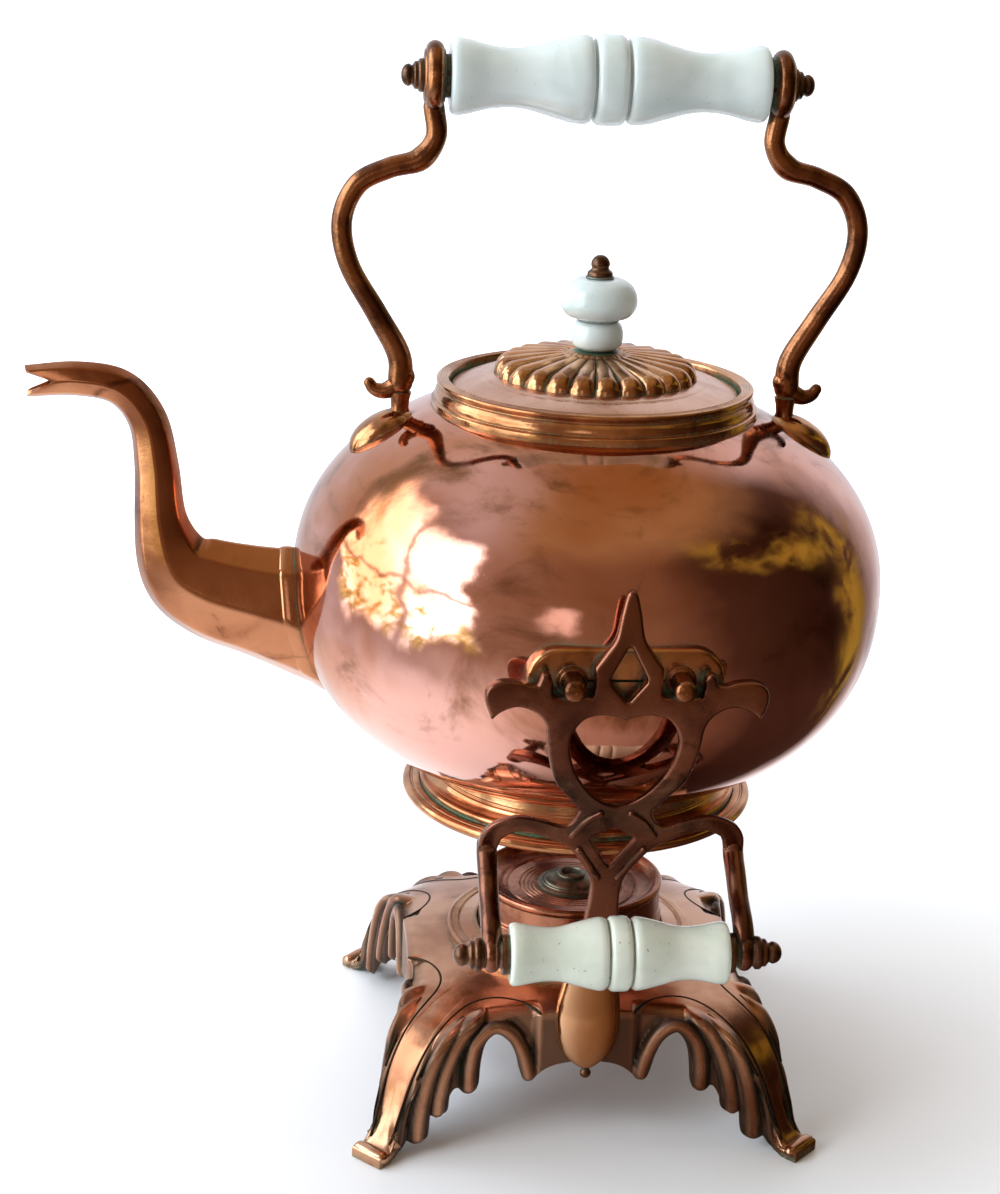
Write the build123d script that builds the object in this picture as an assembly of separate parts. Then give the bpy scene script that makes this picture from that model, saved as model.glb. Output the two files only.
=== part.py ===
"""Spirit kettle on its stand: a copper kettle that tips on two pairs of pegs, held in two
pierced brackets over a spirit lamp, on a four-legged base.

Millimetres.  +Z is up, the spout points along -X, and the origin is on the table, on the
kettle's axis.  Everything is symmetrical about the XZ plane; the stand also about the YZ plane.
"""
from build123d import *
import os
from math import cos, pi, radians, sin, sqrt

# ---- driving dimensions -------------------------------------------------------------------

# kettle belly: two superellipses of revolution that meet at the equator
BELLY_R = 105.3
BELLY_Z = 192.0          # height of the equator
BELLY_UP = 71.7          # equator to the top of the upper curve
BELLY_DOWN = 76.6        # equator to the bottom
BELLY_POWER = 2.22
COPPER = 1.2             # wall of the raised copper
SEAM_Z = BELLY_Z + 14.0  # seam between the two raised halves, clear of pads and spout

# neck collar and lid
NECK_R = 51.0            # bore of the collar
COLLAR_WALL = 6.5        # from the bore to the collar's widest line
COLLAR_RISE = 9.93       # from the belly, at the collar's outside, to the collar's top
LEDGE_DEPTH = 4.4        # from the collar's top down to the ledge that holds the lid
LEDGE_WIDTH = 2.4
LID_GAP = 0.6            # all round, between lid and collar
LID_RISE = 7.0           # from the lid's edge to the foot of the rosette
ROSETTE_R = 36.5
ROSETTE_RISE = 8.6
ROSETTE_FLUTES = 24
FLUTE_DEPTH = 1.6

# lid knob
KNOB_R = 13.6
KNOB_LOW_R = 9.2
KNOB_LOW_H = 9.8
KNOB_H = 24.4
STUD_R = 2.0

# foot ring under the kettle
FOOT_R = 64.2
FOOT_Z = BELLY_Z - BELLY_DOWN - 5.2   # underside
FOOT_NECK_R = 52.0

# spout: its middle line from root to tip, with the half height and half width of the tube at
# each station and the turn of the station's plane from upright
SPOUT_WALL = 1.5
NOTCH_DEPTH = 9.6
BAND_T = 1.1
BAND_WIDTH = 5.5
SPOUT_ROOT_Z = BELLY_Z - 14.0
SPOUT_BORE = 13.0
SPOUT = [
    # out from the belly's side, up from its equator, half height, half width, lean
    (-20.0, -18.5, 27.2, 18.6, -8),
    (-8.3, -15.5, 25.0, 17.5, -8),
    (12.7, -10.2, 21.0, 15.5, -8),
    (30.7, -5.0, 18.6, 13.6, -12),
    (43.2, 4.5, 14.0, 11.6, -50),
    (46.3, 20.0, 9.4, 9.6, -86),
    (47.7, 40.0, 7.9, 8.2, -87),
    (50.7, 57.5, 7.0, 7.2, -72),
    (59.7, 68.0, 6.6, 6.4, -32),
    (74.7, 70.1, 6.2, 5.4, -4),
    (92.0, 69.0, 5.7, 4.4, 3),
]

# upright handle
GRIP_Z = BELLY_Z + BELLY_UP + 104.1
GRIP_HALF = 54.1
ARM_X = GRIP_HALF + 5.1  # middle of each eye
ARM_THICK = 7.5
EYE_R = 11.8
GRIP_END_R = 12.9
GRIP_WAIST_R = 9.9
GRIP_MID_R = 15.2
ROD_R = 2.6
FINIAL_R = 5.6
FINIAL_L = 7.6
ARM_R = 3.75
# middle line of the right-hand arm, from the eye down to the neck above the saddle, as
# (out, down) from the eye's centre
ARM = [(0.0, 10.3), (-1.0, 20.3), (4.3, 28.0), (14.8, 31.2), (25.3, 37.0), (30.4, 49.3),
       (27.7, 64.3), (18.0, 81.0), (10.1, 95.2), (9.2, 105.3)]
SADDLE_X = ARM_X + 15.8
SADDLE_LEAN = 36.0

# trunnions
PEG_R = 3.6
PEG_X = 17.5
PEG_Z = BELLY_Z - 1.0
PAD_W = 64.0
PAD_H = 21.0
PAD_Y = BELLY_R + 2.3    # outer face of the pad, from the axis
PEG_Y = PAD_Y + 12.2     # tip of the peg, from the axis
PEG_REST = 0.05          # gap between a peg and the bottom of its slot
SHANK_R = 2.4            # of a peg, through the wall

# brackets
PLATE = 5.4              # thickness of the casting
SLOT_W = 13.2
SPIKE_Z = PEG_Z + 31.5
LEAF_TOP = 93.0
LEAF_BOTTOM = 28.0
ARM_END_Z = PEG_Z - 64.0 # end of the casting's side arms, where the hangers start

# lower grips
LOW_Y = PEG_Y + 2.2
LOW_Z = 102.5
LOW_HALF = 35.5
LOW_END_R = 10.2
LOW_WAIST_R = 8.7
LOW_MID_R = 12.2
HANGER_X = LOW_HALF + 5.7
HANGER_R = 3.4
LOW_ROD_R = 2.2
LOW_FINIAL_R = 5.4
LOW_FINIAL_L = 9.0

# base
CROWN_Z = 52.6           # height of the domed top at the lamp's seat
SEAT_T = 2.8
SEAT_Z = CROWN_Z + SEAT_T   # top of the lamp's seat ring
SIDE_Y = 61.5            # from the axis to the middle of each side
TOE_S = 111.0            # from the axis to the end of a toe, along the diagonal
TOE_W = 13.0
BASE_T = 2.4
TOE_ROLL_R = 2.8
FINGER_R = 3.5
# outer face from the seat ring out along a diagonal to the toe, as (share of TOE_S, share of
# CROWN_Z)
CROWN = [(0.270, 1.0), (0.414, 0.989), (0.541, 0.947), (0.667, 0.875), (0.766, 0.753), (0.842, 0.551),
         (0.892, 0.323), (0.928, 0.143), (0.964, 0.068), (1.009, 0.087)]

# spirit lamp
LAMP_R = 34.3
SEAT_R = LAMP_R + 11.7
LAMP_TOP = SEAT_Z + 19.8
LAMP_WALL = 1.0
LAMP_GAP = 0.6           # all round, between the lamp and its seat
DISH = 4.5               # depth of the dished top
BURNER_R = 8.6
TUBE_R = 4.4
TUBE_TOP = LAMP_TOP + 0.8
WICK_R = 3.2

# ---- heights and outlines that follow from them ---------------------------------------------

COLLAR_TOP = BELLY_Z + COLLAR_RISE + BELLY_UP * (
    1 - ((NECK_R + COLLAR_WALL) / BELLY_R) ** BELLY_POWER) ** (1 / BELLY_POWER)
LID_T = 1.5
LID_Z = COLLAR_TOP - LEDGE_DEPTH + 0.1
KNOB_Z = LID_Z + LID_T + 0.74 * LID_RISE + ROSETTE_RISE
SLOT_BOTTOM = PEG_Z - PEG_R - PEG_REST
SLOT_IN = PEG_X - SLOT_W / 2
SLOT_OUT = PEG_X + SLOT_W / 2
LEAD = PEG_Z + 6.4       # top of each slot's inner wall
PLATE_Y = (PAD_Y + PEG_Y) / 2 - 1.8   # the casting's middle plane at the slots, from the axis
PLATE_FOOT_Y = SIDE_Y + 18.1          # and at the leaf's top
# side view of the casting's middle plane, as (share of the way out, height above the pegs)
LEAN = [(0.970, 35), (0.996, 15), (1.0, -1), (0.966, -17), (0.830, -33), (0.638, -47),
        (0.433, -63), (0.235, -79), (0.068, -93), (0.0, -101)]
LEAN = [(PLATE_FOOT_Y + share * (PLATE_Y - PLATE_FOOT_Y), PEG_Z + up) for share, up in LEAN]
LAMP_Z = CROWN_Z + 1.3
CROWN = [(reach * TOE_S, rise * CROWN_Z) for reach, rise in CROWN]


# ---- helpers ------------------------------------------------------------------------------

def turned(points):
    """Solid turned about Z from a closed outline of (radius, height) points."""
    return revolve(make_face(Plane.XZ * Polyline(*points, close=True)), Axis.Z)


def turned_on_x(points):
    """Solid turned about X from a closed outline of (along, radius) points."""
    return revolve(make_face(Plane.XY * Polyline(*points, close=True)), Axis.X)


def belly_line(shrink=0.0, steps=11):
    """Half outline of the belly, bottom to top, as (radius, height) points."""
    line = []
    for i in range(-steps, steps + 1):
        t = i / steps * pi / 2
        height = BELLY_UP if i > 0 else BELLY_DOWN
        rise = (height - shrink) * abs(sin(t)) ** (2 / BELLY_POWER) * (1 if i > 0 else -1)
        line.append(((BELLY_R - shrink) * max(cos(t), 0.0) ** (2 / BELLY_POWER), BELLY_Z + rise))
    return line


def belly_volume(shrink=0.0):
    """The belly as one full solid, smooth from pole to pole."""
    line = belly_line(shrink)
    curve = Spline(*[(r, z) for r, z in line], tangents=[(1, 0), (-1, 0)])
    axis = Line(line[-1], line[0])
    return revolve(make_face(Plane.XZ * Curve([curve, axis])), Axis.Z)


def belly_radius(z):
    """Radius of the belly's outer face at a height."""
    reach = BELLY_UP if z > BELLY_Z else BELLY_DOWN
    return BELLY_R * (1 - (abs(z - BELLY_Z) / reach) ** BELLY_POWER) ** (1 / BELLY_POWER)


def belly_height(r):
    """Height of the belly's upper face at a radius."""
    return BELLY_Z + BELLY_UP * (1 - (r / BELLY_R) ** BELLY_POWER) ** (1 / BELLY_POWER)


def front_and_rear(solid):
    """A piece at the front and its twin behind the kettle, half a turn round."""
    return solid, Rot(0, 0, 180) * solid


def tube_along(points, radii, tangents=None):
    """A tapering round bar: circles of the given radii lofted along a smooth curve."""
    path = Spline(*points, tangents=tangents) if tangents else Spline(*points)
    last = len(radii) - 1
    rings = [Plane(path ^ (i / last)) * Circle(r) for i, r in enumerate(radii)]
    return loft(rings)


BELLY = belly_volume()


# ---- kettle -------------------------------------------------------------------------------

def belly_halves():
    """Raised copper belly: an even wall, open at the neck, pierced for spout and pegs, in a lower
    bowl and a shoulder that meet at the seam."""
    shell = BELLY - belly_volume(COPPER)
    shell -= Pos(0, 0, BELLY_Z + BELLY_UP) * Cylinder(NECK_R, 0.8 * BELLY_UP)
    shell -= Pos(-BELLY_R, 0, SPOUT_ROOT_Z) * Rot(0, 90, 0) * Cylinder(SPOUT_BORE, 4 * COPPER + 24)
    for y in (-BELLY_R, BELLY_R):
        for x in (-PEG_X, PEG_X):
            shell -= Pos(x, y, PEG_Z) * Rot(90, 0, 0) * Cylinder(SHANK_R, 24)
    seam = Plane.XY.offset(SEAM_Z)
    return split(shell, seam, keep=Keep.BOTTOM), split(shell, seam, keep=Keep.TOP)


def foot_ring():
    """Spun foot: rolled rim, flat ledge and an ogee that rises to the belly."""
    top = belly_height_low(FOOT_NECK_R)
    rim = FOOT_R
    outside = Polyline(
        (rim - 2.2, FOOT_Z), (rim - 0.5, FOOT_Z + 0.5), (rim, FOOT_Z + 1.9), (rim - 0.5, FOOT_Z + 3.4),
        (rim - 2.0, FOOT_Z + 4.0), (rim - 2.6, FOOT_Z + 3.3), (rim - 6.0, FOOT_Z + 3.6))
    ogee = Spline((rim - 6.0, FOOT_Z + 3.6), (rim - 7.2, FOOT_Z + 6.4), (rim - 9.4, FOOT_Z + 8.0),
                  (FOOT_NECK_R + 1.2, FOOT_Z + 9.2), (FOOT_NECK_R, top + 2.0))
    inside = Polyline((FOOT_NECK_R, top + 2.0), (FOOT_NECK_R - 2.0, top + 2.0),
                      (FOOT_NECK_R - 2.0, FOOT_Z + 7.2), (rim - 8.6, FOOT_Z + 5.4),
                      (rim - 7.0, FOOT_Z + 1.6), (rim - 2.2, FOOT_Z))
    ring = revolve(make_face(Plane.XZ * (outside + ogee + inside)), Axis.Z)
    return ring - BELLY


def belly_height_low(r):
    """Height of the belly's lower face at a radius."""
    return BELLY_Z - BELLY_DOWN * (1 - (r / BELLY_R) ** BELLY_POWER) ** (1 / BELLY_POWER)


def neck_collar():
    """Collar on the belly's mouth, with the ledge that holds the lid and a rolled brass top."""
    wide = NECK_R + COLLAR_WALL
    ledge = COLLAR_TOP - LEDGE_DEPTH
    ring = turned([
        (NECK_R - LEDGE_WIDTH, ledge - 2.2), (NECK_R - LEDGE_WIDTH, ledge), (NECK_R, ledge),
        (NECK_R, COLLAR_TOP - 0.8), (NECK_R + 0.9, COLLAR_TOP), (wide - 2.9, COLLAR_TOP),
        (wide - 1.9, COLLAR_TOP - 0.9), (wide - 1.9, COLLAR_TOP - 2.1), (wide - 2.6, COLLAR_TOP - 2.7),
        (wide - 2.4, COLLAR_TOP - 3.4), (wide - 1.1, COLLAR_TOP - 6.0), (wide - 1.1, COLLAR_TOP - 6.9),
        (wide, COLLAR_TOP - 7.6), (wide, belly_height(wide) - 2.0),
        (NECK_R - LEDGE_WIDTH, belly_height(wide) - 2.0)])
    return ring - BELLY


def spout_section(out, up, tall, wide, lean, shrink):
    """Eight-sided outline across the spout at one station, with a ridge along each side."""
    a, b = tall - shrink, wide - shrink
    quarter = [(b, 0), (0.70 * b, 0.72 * a), (0, a), (-0.70 * b, 0.72 * a)]
    points = quarter + [(-x, -y) for x, y in quarter]
    plane = Plane(origin=(-BELLY_R - out, 0, BELLY_Z + up), x_dir=(0, 1, 0),
                  z_dir=(-cos(radians(lean)), 0, -sin(radians(lean))))
    return plane * make_face(Polyline(*points, close=True))


def spout_tube(shrink):
    """The whole swan neck as one solid, smaller by a wall."""
    stations = [spout_section(*station, shrink) for station in SPOUT]
    return loft(stations, ruled=True)


def spout():
    """Faceted swan-neck spout with a split beak."""
    tube = spout_tube(0.0) - spout_tube(SPOUT_WALL) - BELLY
    out, up, tall, wide, lean = SPOUT[-1]
    x, z = -BELLY_R - out, BELLY_Z + up
    notch = make_face(Plane.XZ * Polyline(
        (x + NOTCH_DEPTH, z), (x - 1, z + 0.8 * tall), (x - 1, z - 0.8 * tall), close=True))
    return tube - extrude(notch, 3 * wide, both=True)


def spout_collar():
    """Soldered band around the spout's root, as wide all round as it follows the belly."""
    band = spout_tube(-BAND_T) & belly_volume(-BAND_WIDTH)
    return band - spout_tube(0.0) - BELLY


def saddle_right():
    """Half-teardrop dome on the shoulder that carries the handle's foot."""
    dome = scale(Sphere(1), by=(15.0, 10.5, 6.5))
    dome = Pos(SADDLE_X, 0, belly_height(SADDLE_X)) * Rot(0, SADDLE_LEAN, 0) * dome
    return dome - BELLY


def handle_arm_right():
    """S-shaped cast arm: grooved bar, disc eye at the top, outward scroll at the foot."""
    line = [(ARM_X + out, 0, GRIP_Z - down) for out, down in ARM]
    path = Spline(*line)
    bar = Circle(ARM_R)
    for y in (-ARM_R, ARM_R):
        bar -= Pos(y, 0) * Circle(0.32 * ARM_R)
    start = Plane(origin=path @ 0, x_dir=(0, 1, 0), z_dir=path % 0)
    arm = sweep(start * bar, path=path)
    eye = Cylinder(EYE_R, ARM_THICK)
    eye = fillet(eye.edges().filter_by(GeomType.CIRCLE), 0.3 * ARM_THICK)
    eye = Pos(ARM_X, 0, GRIP_Z) * Rot(0, 90, 0) * eye
    foot_x, _, foot_z = line[-1]
    seat = belly_height(foot_x)
    neck = Pos(foot_x, 0, seat) * Cylinder(2.9, foot_z - seat, align=(Align.CENTER, Align.CENTER, Align.MIN))
    scroll = tube_along([(foot_x - 0.6, 0, foot_z + 1.5), (foot_x + 4.0, 0, foot_z - 1.8),
                         (foot_x + 9.6, 0, foot_z - 1.2)], [3.6, 3.3, 1.6])
    arm = arm + eye + Pos(foot_x, 0, foot_z) * Sphere(ARM_R) + neck + scroll
    arm -= Pos(ARM_X, 0, GRIP_Z) * Rot(0, 90, 0) * Cylinder(ROD_R, 2 * ARM_THICK)
    return arm - saddle_right() - BELLY


def grip(half, end_r, waist_r, mid_r, bore):
    """One-piece glass grip turned about X: two waisted barrels and a ring between them."""
    ring = 0.094 * half
    groove = ring + 0.022 * half
    swell = [(groove, 0.92 * mid_r), (groove + 0.02 * half, 0.985 * mid_r)]
    barrel = Spline(swell[1], (0.25 * half, 0.94 * mid_r), (0.42 * half, waist_r + 0.30 * (mid_r - waist_r)),
                    (0.63 * half, waist_r), (0.82 * half, waist_r + 0.55 * (end_r - waist_r)),
                    (0.94 * half, end_r))
    side = (Line((0, bore), (0, mid_r)) + Line((0, mid_r), (0.7 * ring, mid_r))
            + Line((0.7 * ring, mid_r), (ring, 0.92 * mid_r)) + Line((ring, 0.92 * mid_r), swell[0])
            + Line(*swell) + barrel + Line((0.94 * half, end_r), (half, 0.88 * end_r))
            + Line((half, 0.88 * end_r), (half, bore)) + Line((half, bore), (0, bore)))
    barrel = revolve(make_face(side), Axis.X)
    return barrel + mirror(barrel, Plane.YZ)


def washers(inner, outer, radius, bore):
    """A pair of washers on a rod along X, one at each end, between two distances."""
    right = turned_on_x([(inner, bore), (inner, radius), (outer, radius), (outer, bore)])
    return right + mirror(right, Plane.YZ)


def finials(seat, radius, length, bore):
    """A pair of domed finial nuts on the ends of a rod along X."""
    stem = 0.60 * radius
    nut = turned_on_x([
        (seat, bore), (seat, radius), (seat + 0.20 * length, radius), (seat + 0.30 * length, 0.84 * radius),
        (seat + 0.42 * length, 0.84 * radius), (seat + 0.50 * length, stem), (seat + 0.62 * length, 1.12 * stem),
        (seat + 0.80 * length, 1.04 * stem), (seat + 0.94 * length, 0.62 * stem), (seat + length, 0.0),
        (seat + 0.72 * length, 0.0), (seat + 0.72 * length, bore)])
    return nut + mirror(nut, Plane.YZ)


def rod_on_x(half, radius):
    """Plain rod along X."""
    return Rot(0, 90, 0) * Cylinder(radius, 2 * half)


def trunnion_pad():
    """Oval pad that follows the belly and carries the two front pegs."""
    outline = SlotOverall(PAD_W, PAD_H)
    pad = extrude(Plane.XZ.offset(BELLY_R - 14) * outline, PAD_Y - BELLY_R + 14)
    pad = fillet(pad.edges().group_by(Axis.Y)[0], 1.8)
    pad = Pos(0, 0, PEG_Z) * pad - BELLY
    for x in (-PEG_X, PEG_X):
        pad -= Pos(x, -PAD_Y, PEG_Z) * Rot(90, 0, 0) * Cylinder(SHANK_R, 30)
    return pad


def trunnion_pegs():
    """Two riveted pegs: a collar against the pad, a domed tip and a shank through the wall."""
    inside = 12.0
    length = PEG_Y - PAD_Y
    peg = turned([
        (0, -inside), (SHANK_R, -inside), (SHANK_R, 0), (PEG_R + 1.6, 0), (PEG_R + 1.6, 0.7),
        (PEG_R, 1.1), (PEG_R, length - 1.3), (PEG_R - 1.1, length - 0.3), (0, length)])
    peg = Pos(0, -PAD_Y, PEG_Z) * Rot(90, 0, 0) * peg
    return Pos(-PEG_X, 0, 0) * peg + Pos(PEG_X, 0, 0) * peg


# ---- lid ----------------------------------------------------------------------------------

def lid_plate():
    """Gently domed lid with a locating skirt inside the neck."""
    edge = NECK_R - LID_GAP
    skirt = NECK_R - LEDGE_WIDTH - LID_GAP
    crown = LID_Z + LID_T + LID_RISE
    top = Spline((edge, LID_Z + LID_T), (ROSETTE_R, LID_Z + LID_T + 0.74 * LID_RISE), (0, crown),
                 tangents=[(-1, 0.35), (-1, 0)])
    below = Spline((0, crown - LID_T), (ROSETTE_R, LID_Z + 0.74 * LID_RISE), (skirt - 1.2, LID_Z),
                   tangents=[(1, 0), (1, -0.35)])
    rim = Polyline((skirt - 1.2, LID_Z), (skirt - 1.2, LID_Z - 10), (skirt, LID_Z - 10), (skirt, LID_Z),
                   (edge, LID_Z), (edge, LID_Z + LID_T))
    plate = revolve(make_face(Plane.XZ * (top + Line((0, crown), (0, crown - LID_T)) + below + rim)), Axis.Z)
    return plate - Pos(0, 0, crown) * Cylinder(STUD_R, 20)


def lid_rosette():
    """Fluted rosette pressed in sheet: star-shaped rings that close towards the knob."""
    base = LID_Z + LID_T + 0.74 * LID_RISE
    rows = [(ROSETTE_R, base, FLUTE_DEPTH), (0.95 * ROSETTE_R, base + 0.38 * ROSETTE_RISE, FLUTE_DEPTH),
            (0.62 * ROSETTE_R, base + 0.80 * ROSETTE_RISE, FLUTE_DEPTH), (0.27 * ROSETTE_R, base + ROSETTE_RISE, 0.6)]
    rings = []
    for radius, z, depth in rows:
        star = []
        for i in range(2 * ROSETTE_FLUTES):
            r = radius - (depth if i % 2 else 0.0)
            star.append((r * cos(pi * i / ROSETTE_FLUTES), r * sin(pi * i / ROSETTE_FLUTES)))
        rings.append(Plane.XY.offset(z) * make_face(Polyline(*star, close=True)))
    dome = loft(rings, ruled=True)
    under = turned([(0, base - 5), (ROSETTE_R - 3, base - 5), (0.90 * ROSETTE_R, base),
                    (0.60 * ROSETTE_R, base + 0.60 * ROSETTE_RISE), (0, base + 0.72 * ROSETTE_RISE)])
    return dome - under - Pos(0, 0, base) * Cylinder(STUD_R, 40) - lid_solid()


def lid_solid():
    """The lid's upper face as a full solid, to seat the rosette on."""
    edge = NECK_R - LID_GAP
    crown = LID_Z + LID_T + LID_RISE
    top = Spline((edge, LID_Z + LID_T), (ROSETTE_R, LID_Z + LID_T + 0.74 * LID_RISE), (0, crown),
                 tangents=[(-1, 0.35), (-1, 0)])
    close = Polyline((0, crown), (0, LID_Z), (edge, LID_Z), (edge, LID_Z + LID_T))
    return revolve(make_face(Plane.XZ * (top + close)), Axis.Z)


def knob_glass():
    """Two-tier glass knob, turned and bored."""
    z = KNOB_Z + 0.6
    step = z + KNOB_LOW_H
    top = z + KNOB_H
    middle = (step + top) / 2 + 0.2
    low = Spline((0.82 * KNOB_LOW_R, z), (KNOB_LOW_R, z + 0.5 * KNOB_LOW_H), (0.76 * KNOB_LOW_R, step))
    high = Spline((0.76 * KNOB_LOW_R, step), (0.90 * KNOB_R, middle - 5.0), (KNOB_R, middle),
                  (0.90 * KNOB_R, middle + 4.8), (0.52 * KNOB_R, top))
    close = Polyline((0.52 * KNOB_R, top), (STUD_R, top), (STUD_R, z), (0.82 * KNOB_LOW_R, z))
    return revolve(make_face(Plane.XZ * (low + high + close)), Axis.Z)


def knob_washers():
    """Washers below and above the glass."""
    z = KNOB_Z
    low = turned([(STUD_R, z), (6.4, z), (6.4, z + 0.6), (STUD_R, z + 0.6)])
    top = z + 0.6 + KNOB_H
    high = turned([(STUD_R, top), (5.0, top), (5.0, top + 0.8), (STUD_R, top + 0.8)])
    return low + high


def knob_nut():
    """Domed finial nut on top of the knob."""
    z = KNOB_Z + KNOB_H + 1.4
    return turned([(STUD_R, z), (4.5, z), (4.5, z + 1.6), (3.3, z + 2.2), (3.0, z + 3.0), (3.3, z + 3.8),
                   (2.9, z + 5.6), (1.6, z + 6.9), (0, z + 7.3), (0, z + 4.6), (STUD_R, z + 4.6)])


def knob_stud():
    """Threaded stud through lid, rosette and knob, with its nut under the lid."""
    low = LID_Z + LID_RISE - 6.0
    return (turned([(0, low), (STUD_R, low), (STUD_R, KNOB_Z + KNOB_H + 6.0), (0, KNOB_Z + KNOB_H + 6.0)])
            + Pos(0, 0, LID_Z + LID_RISE - 1.6) * extrude(RegularPolygon(4.2, 6) - Circle(STUD_R), 1.5))


# ---- stand: brackets ----------------------------------------------------------------------

def from_slot(points):
    """Points given out from the slot's outer wall and up from the pegs."""
    return [(SLOT_OUT + out, PEG_Z + up) for out, up in points]


def from_hanger(points):
    """Points given out from the hanger and up from the arm's end."""
    return [(HANGER_X + out, ARM_END_Z + up) for out, up in points]


def bracket_outline():
    """Front outline of one whole casting: spike, slots, hooked wings, heart frame and arms.
    The right half runs from the top of the spike round to the foot of the stem."""
    spike = Spline((0, SPIKE_Z), (1.7, SPIKE_Z - 1.2), (3.0, SPIKE_Z - 7), (4.6, SPIKE_Z - 15.5),
                   (7.6, SPIKE_Z - 20.4), (SLOT_IN, LEAD), tangents=[(1, 0), (0.5, -1)])
    slot = Polyline((SLOT_IN, LEAD), (SLOT_IN, SLOT_BOTTOM), (SLOT_OUT, SLOT_BOTTOM),
                    *from_slot([(0, 1.6), (1.8, 4.8), (4.6, 0.4)]))
    wing = Spline(*from_slot([(4.6, 0.4), (10.9, 1.6), (16.3, 1.8), (20.5, -0.4), (21.3, -5.0), (19.1, -11.6)]))
    under = Spline(*from_slot([(19.1, -11.6), (15.5, -8.4), (10.5, -6.6), (5.3, -8.6), (1.5, -13.6)]))
    side = from_slot([(1.5, -13.6), (0.1, -24.0), (-3.1, -35.2), (-8.5, -42.6)])
    over = from_hanger([(-29.6, 15.6), (-24.2, 9.6), (-17.2, 12.4), (-9.2, 14.0), (-1.2, 11.0), (HANGER_R, 0)])
    frame = Spline(*side, over[0])
    arm = Spline(*over)
    end = from_hanger([(HANGER_R, 0), (-HANGER_R, 0)])
    inner = from_hanger([(-HANGER_R, 0), (-5.8, 5.6), (-11.2, 7.9), (-19.2, 5.4), (-26.8, 0.8)])
    stem = Polyline(inner[-1], (5.4, LEAF_TOP + 20.4), (5.0, LEAF_TOP + 13), (6.0, LEAF_TOP), (0, LEAF_TOP))
    half = make_face(spike + slot + wing + under + frame + arm + Line(*end) + Spline(*inner) + stem
                     + Line((0, LEAF_TOP), (0, SPIKE_Z)))
    return half + mirror(half, Plane.YZ)


def from_pegs(points):
    """Points given out from the middle and down from the pegs."""
    return [(out, PEG_Z - down) for out, down in points]


def bracket_holes():
    """Diamond in the spike's root, the heart, and the kite in the crossing."""
    diamond = make_face(Polyline(*from_pegs([(0, -14.2), (6.2, -2.2), (0, 5.6), (-6.2, -2.2)]), close=True))
    lobe = from_pegs([(0, 11.4), (3.2, 10.3), (8.6, 9.6), (14.0, 11.4), (17.6, 18.4), (16.0, 28.2),
                      (11.2, 37.8), (5.6, 43.8), (0, 45.8)])
    heart = make_face(Spline(*lobe, tangents=[(1, 0.3), (-1, 0)]) + Line(lobe[-1], lobe[0]))
    kite = make_face(Polyline(*from_pegs([(0, 54.6), (7.6, 59.4), (0, 72.4), (-7.6, 59.4)]), close=True))
    return diamond + heart + mirror(heart, Plane.YZ) + kite


def lean_at(z):
    """Distance of the casting's middle plane in front of the axis at a height."""
    for (y0, z0), (y1, z1) in zip(LEAN, LEAN[1:]):
        if z >= z1:
            return y1 + (y0 - y1) * (z - z1) / (z0 - z1)
    return LEAN[-1][0]


def bracket():
    """One pierced casting, cut from a slab that leans in towards the base."""
    half = PLATE / 2
    outer = Spline(*[(-y - half, z) for y, z in LEAN])
    inner = Spline(*[(-y + half, z) for y, z in LEAN])
    (yt, zt), (yb, zb) = LEAN[0], LEAN[-1]
    ends = Line((-yt - half, zt), (-yt + half, zt)) + Line((-yb - half, zb), (-yb + half, zb))
    slab = extrude(Plane.YZ * make_face(outer + inner + ends), 60, both=True)
    pierced = bracket_outline() - bracket_holes()
    return extrude(Plane.XZ.offset(60) * pierced, 70) & slab


def leaf():
    """Spoon-shaped leaf that carries the casting down to the base: domed front, flat back."""
    rows = [(LEAF_TOP, 6.0, 4.6), (78.0, 7.4, 5.0), (64.0, 9.8, 5.6), (52.0, 11.0, 6.2), (40.0, 9.8, 5.8),
            (32.0, 6.0, 4.6), (LEAF_BOTTOM, 2.0, 3.0)]
    rings = []
    for z, half, proud in rows:
        back = -leaf_back(z)
        rings.append(Plane.XY.offset(z) * make_face(
            Spline((-half, back), (-0.72 * half, back - 0.70 * proud), (0, back - proud),
                   (0.72 * half, back - 0.70 * proud), (half, back))
            + Line((half, back), (-half, back))))
    return loft(rings)


def leaf_back(z):
    """Distance of the leaf's flat back in front of the axis."""
    top = lean_at(LEAF_TOP) - PLATE / 2
    foot = SIDE_Y + 0.3
    share = max(0.0, (z - 50.0) / (LEAF_TOP - 50.0))
    return foot + (top - foot) * share ** 1.3


def hanger(side):
    """Bent rod from the casting's arm down and forward to the lower grip, with its eye."""
    x = side * HANGER_X
    y = lean_at(ARM_END_Z)
    path = Spline((x, -y, ARM_END_Z), (x, -(y + LOW_Y) / 2, (ARM_END_Z + LOW_Z) / 2), (x, -LOW_Y, LOW_Z),
                  tangents=[(0, 0, -1), (0, 0, -1)])
    start = Plane(origin=path @ 0, x_dir=(1, 0, 0), z_dir=path % 0)
    bar = sweep(start * Circle(HANGER_R), path=path)
    eye = Pos(x, -LOW_Y, LOW_Z) * Rot(0, 90, 0) * Cylinder(1.75 * HANGER_R, 2 * HANGER_R)
    return bar + eye - Pos(x, -LOW_Y, LOW_Z) * Rot(0, 90, 0) * Cylinder(LOW_ROD_R, 20)


def leaf_screw():
    """Round-headed screw at the leaf's tip."""
    return Pos(0, -leaf_back(LEAF_BOTTOM) - 0.6, LEAF_BOTTOM - 2.1) * Sphere(2.0)


# ---- stand: base --------------------------------------------------------------------------

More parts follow.
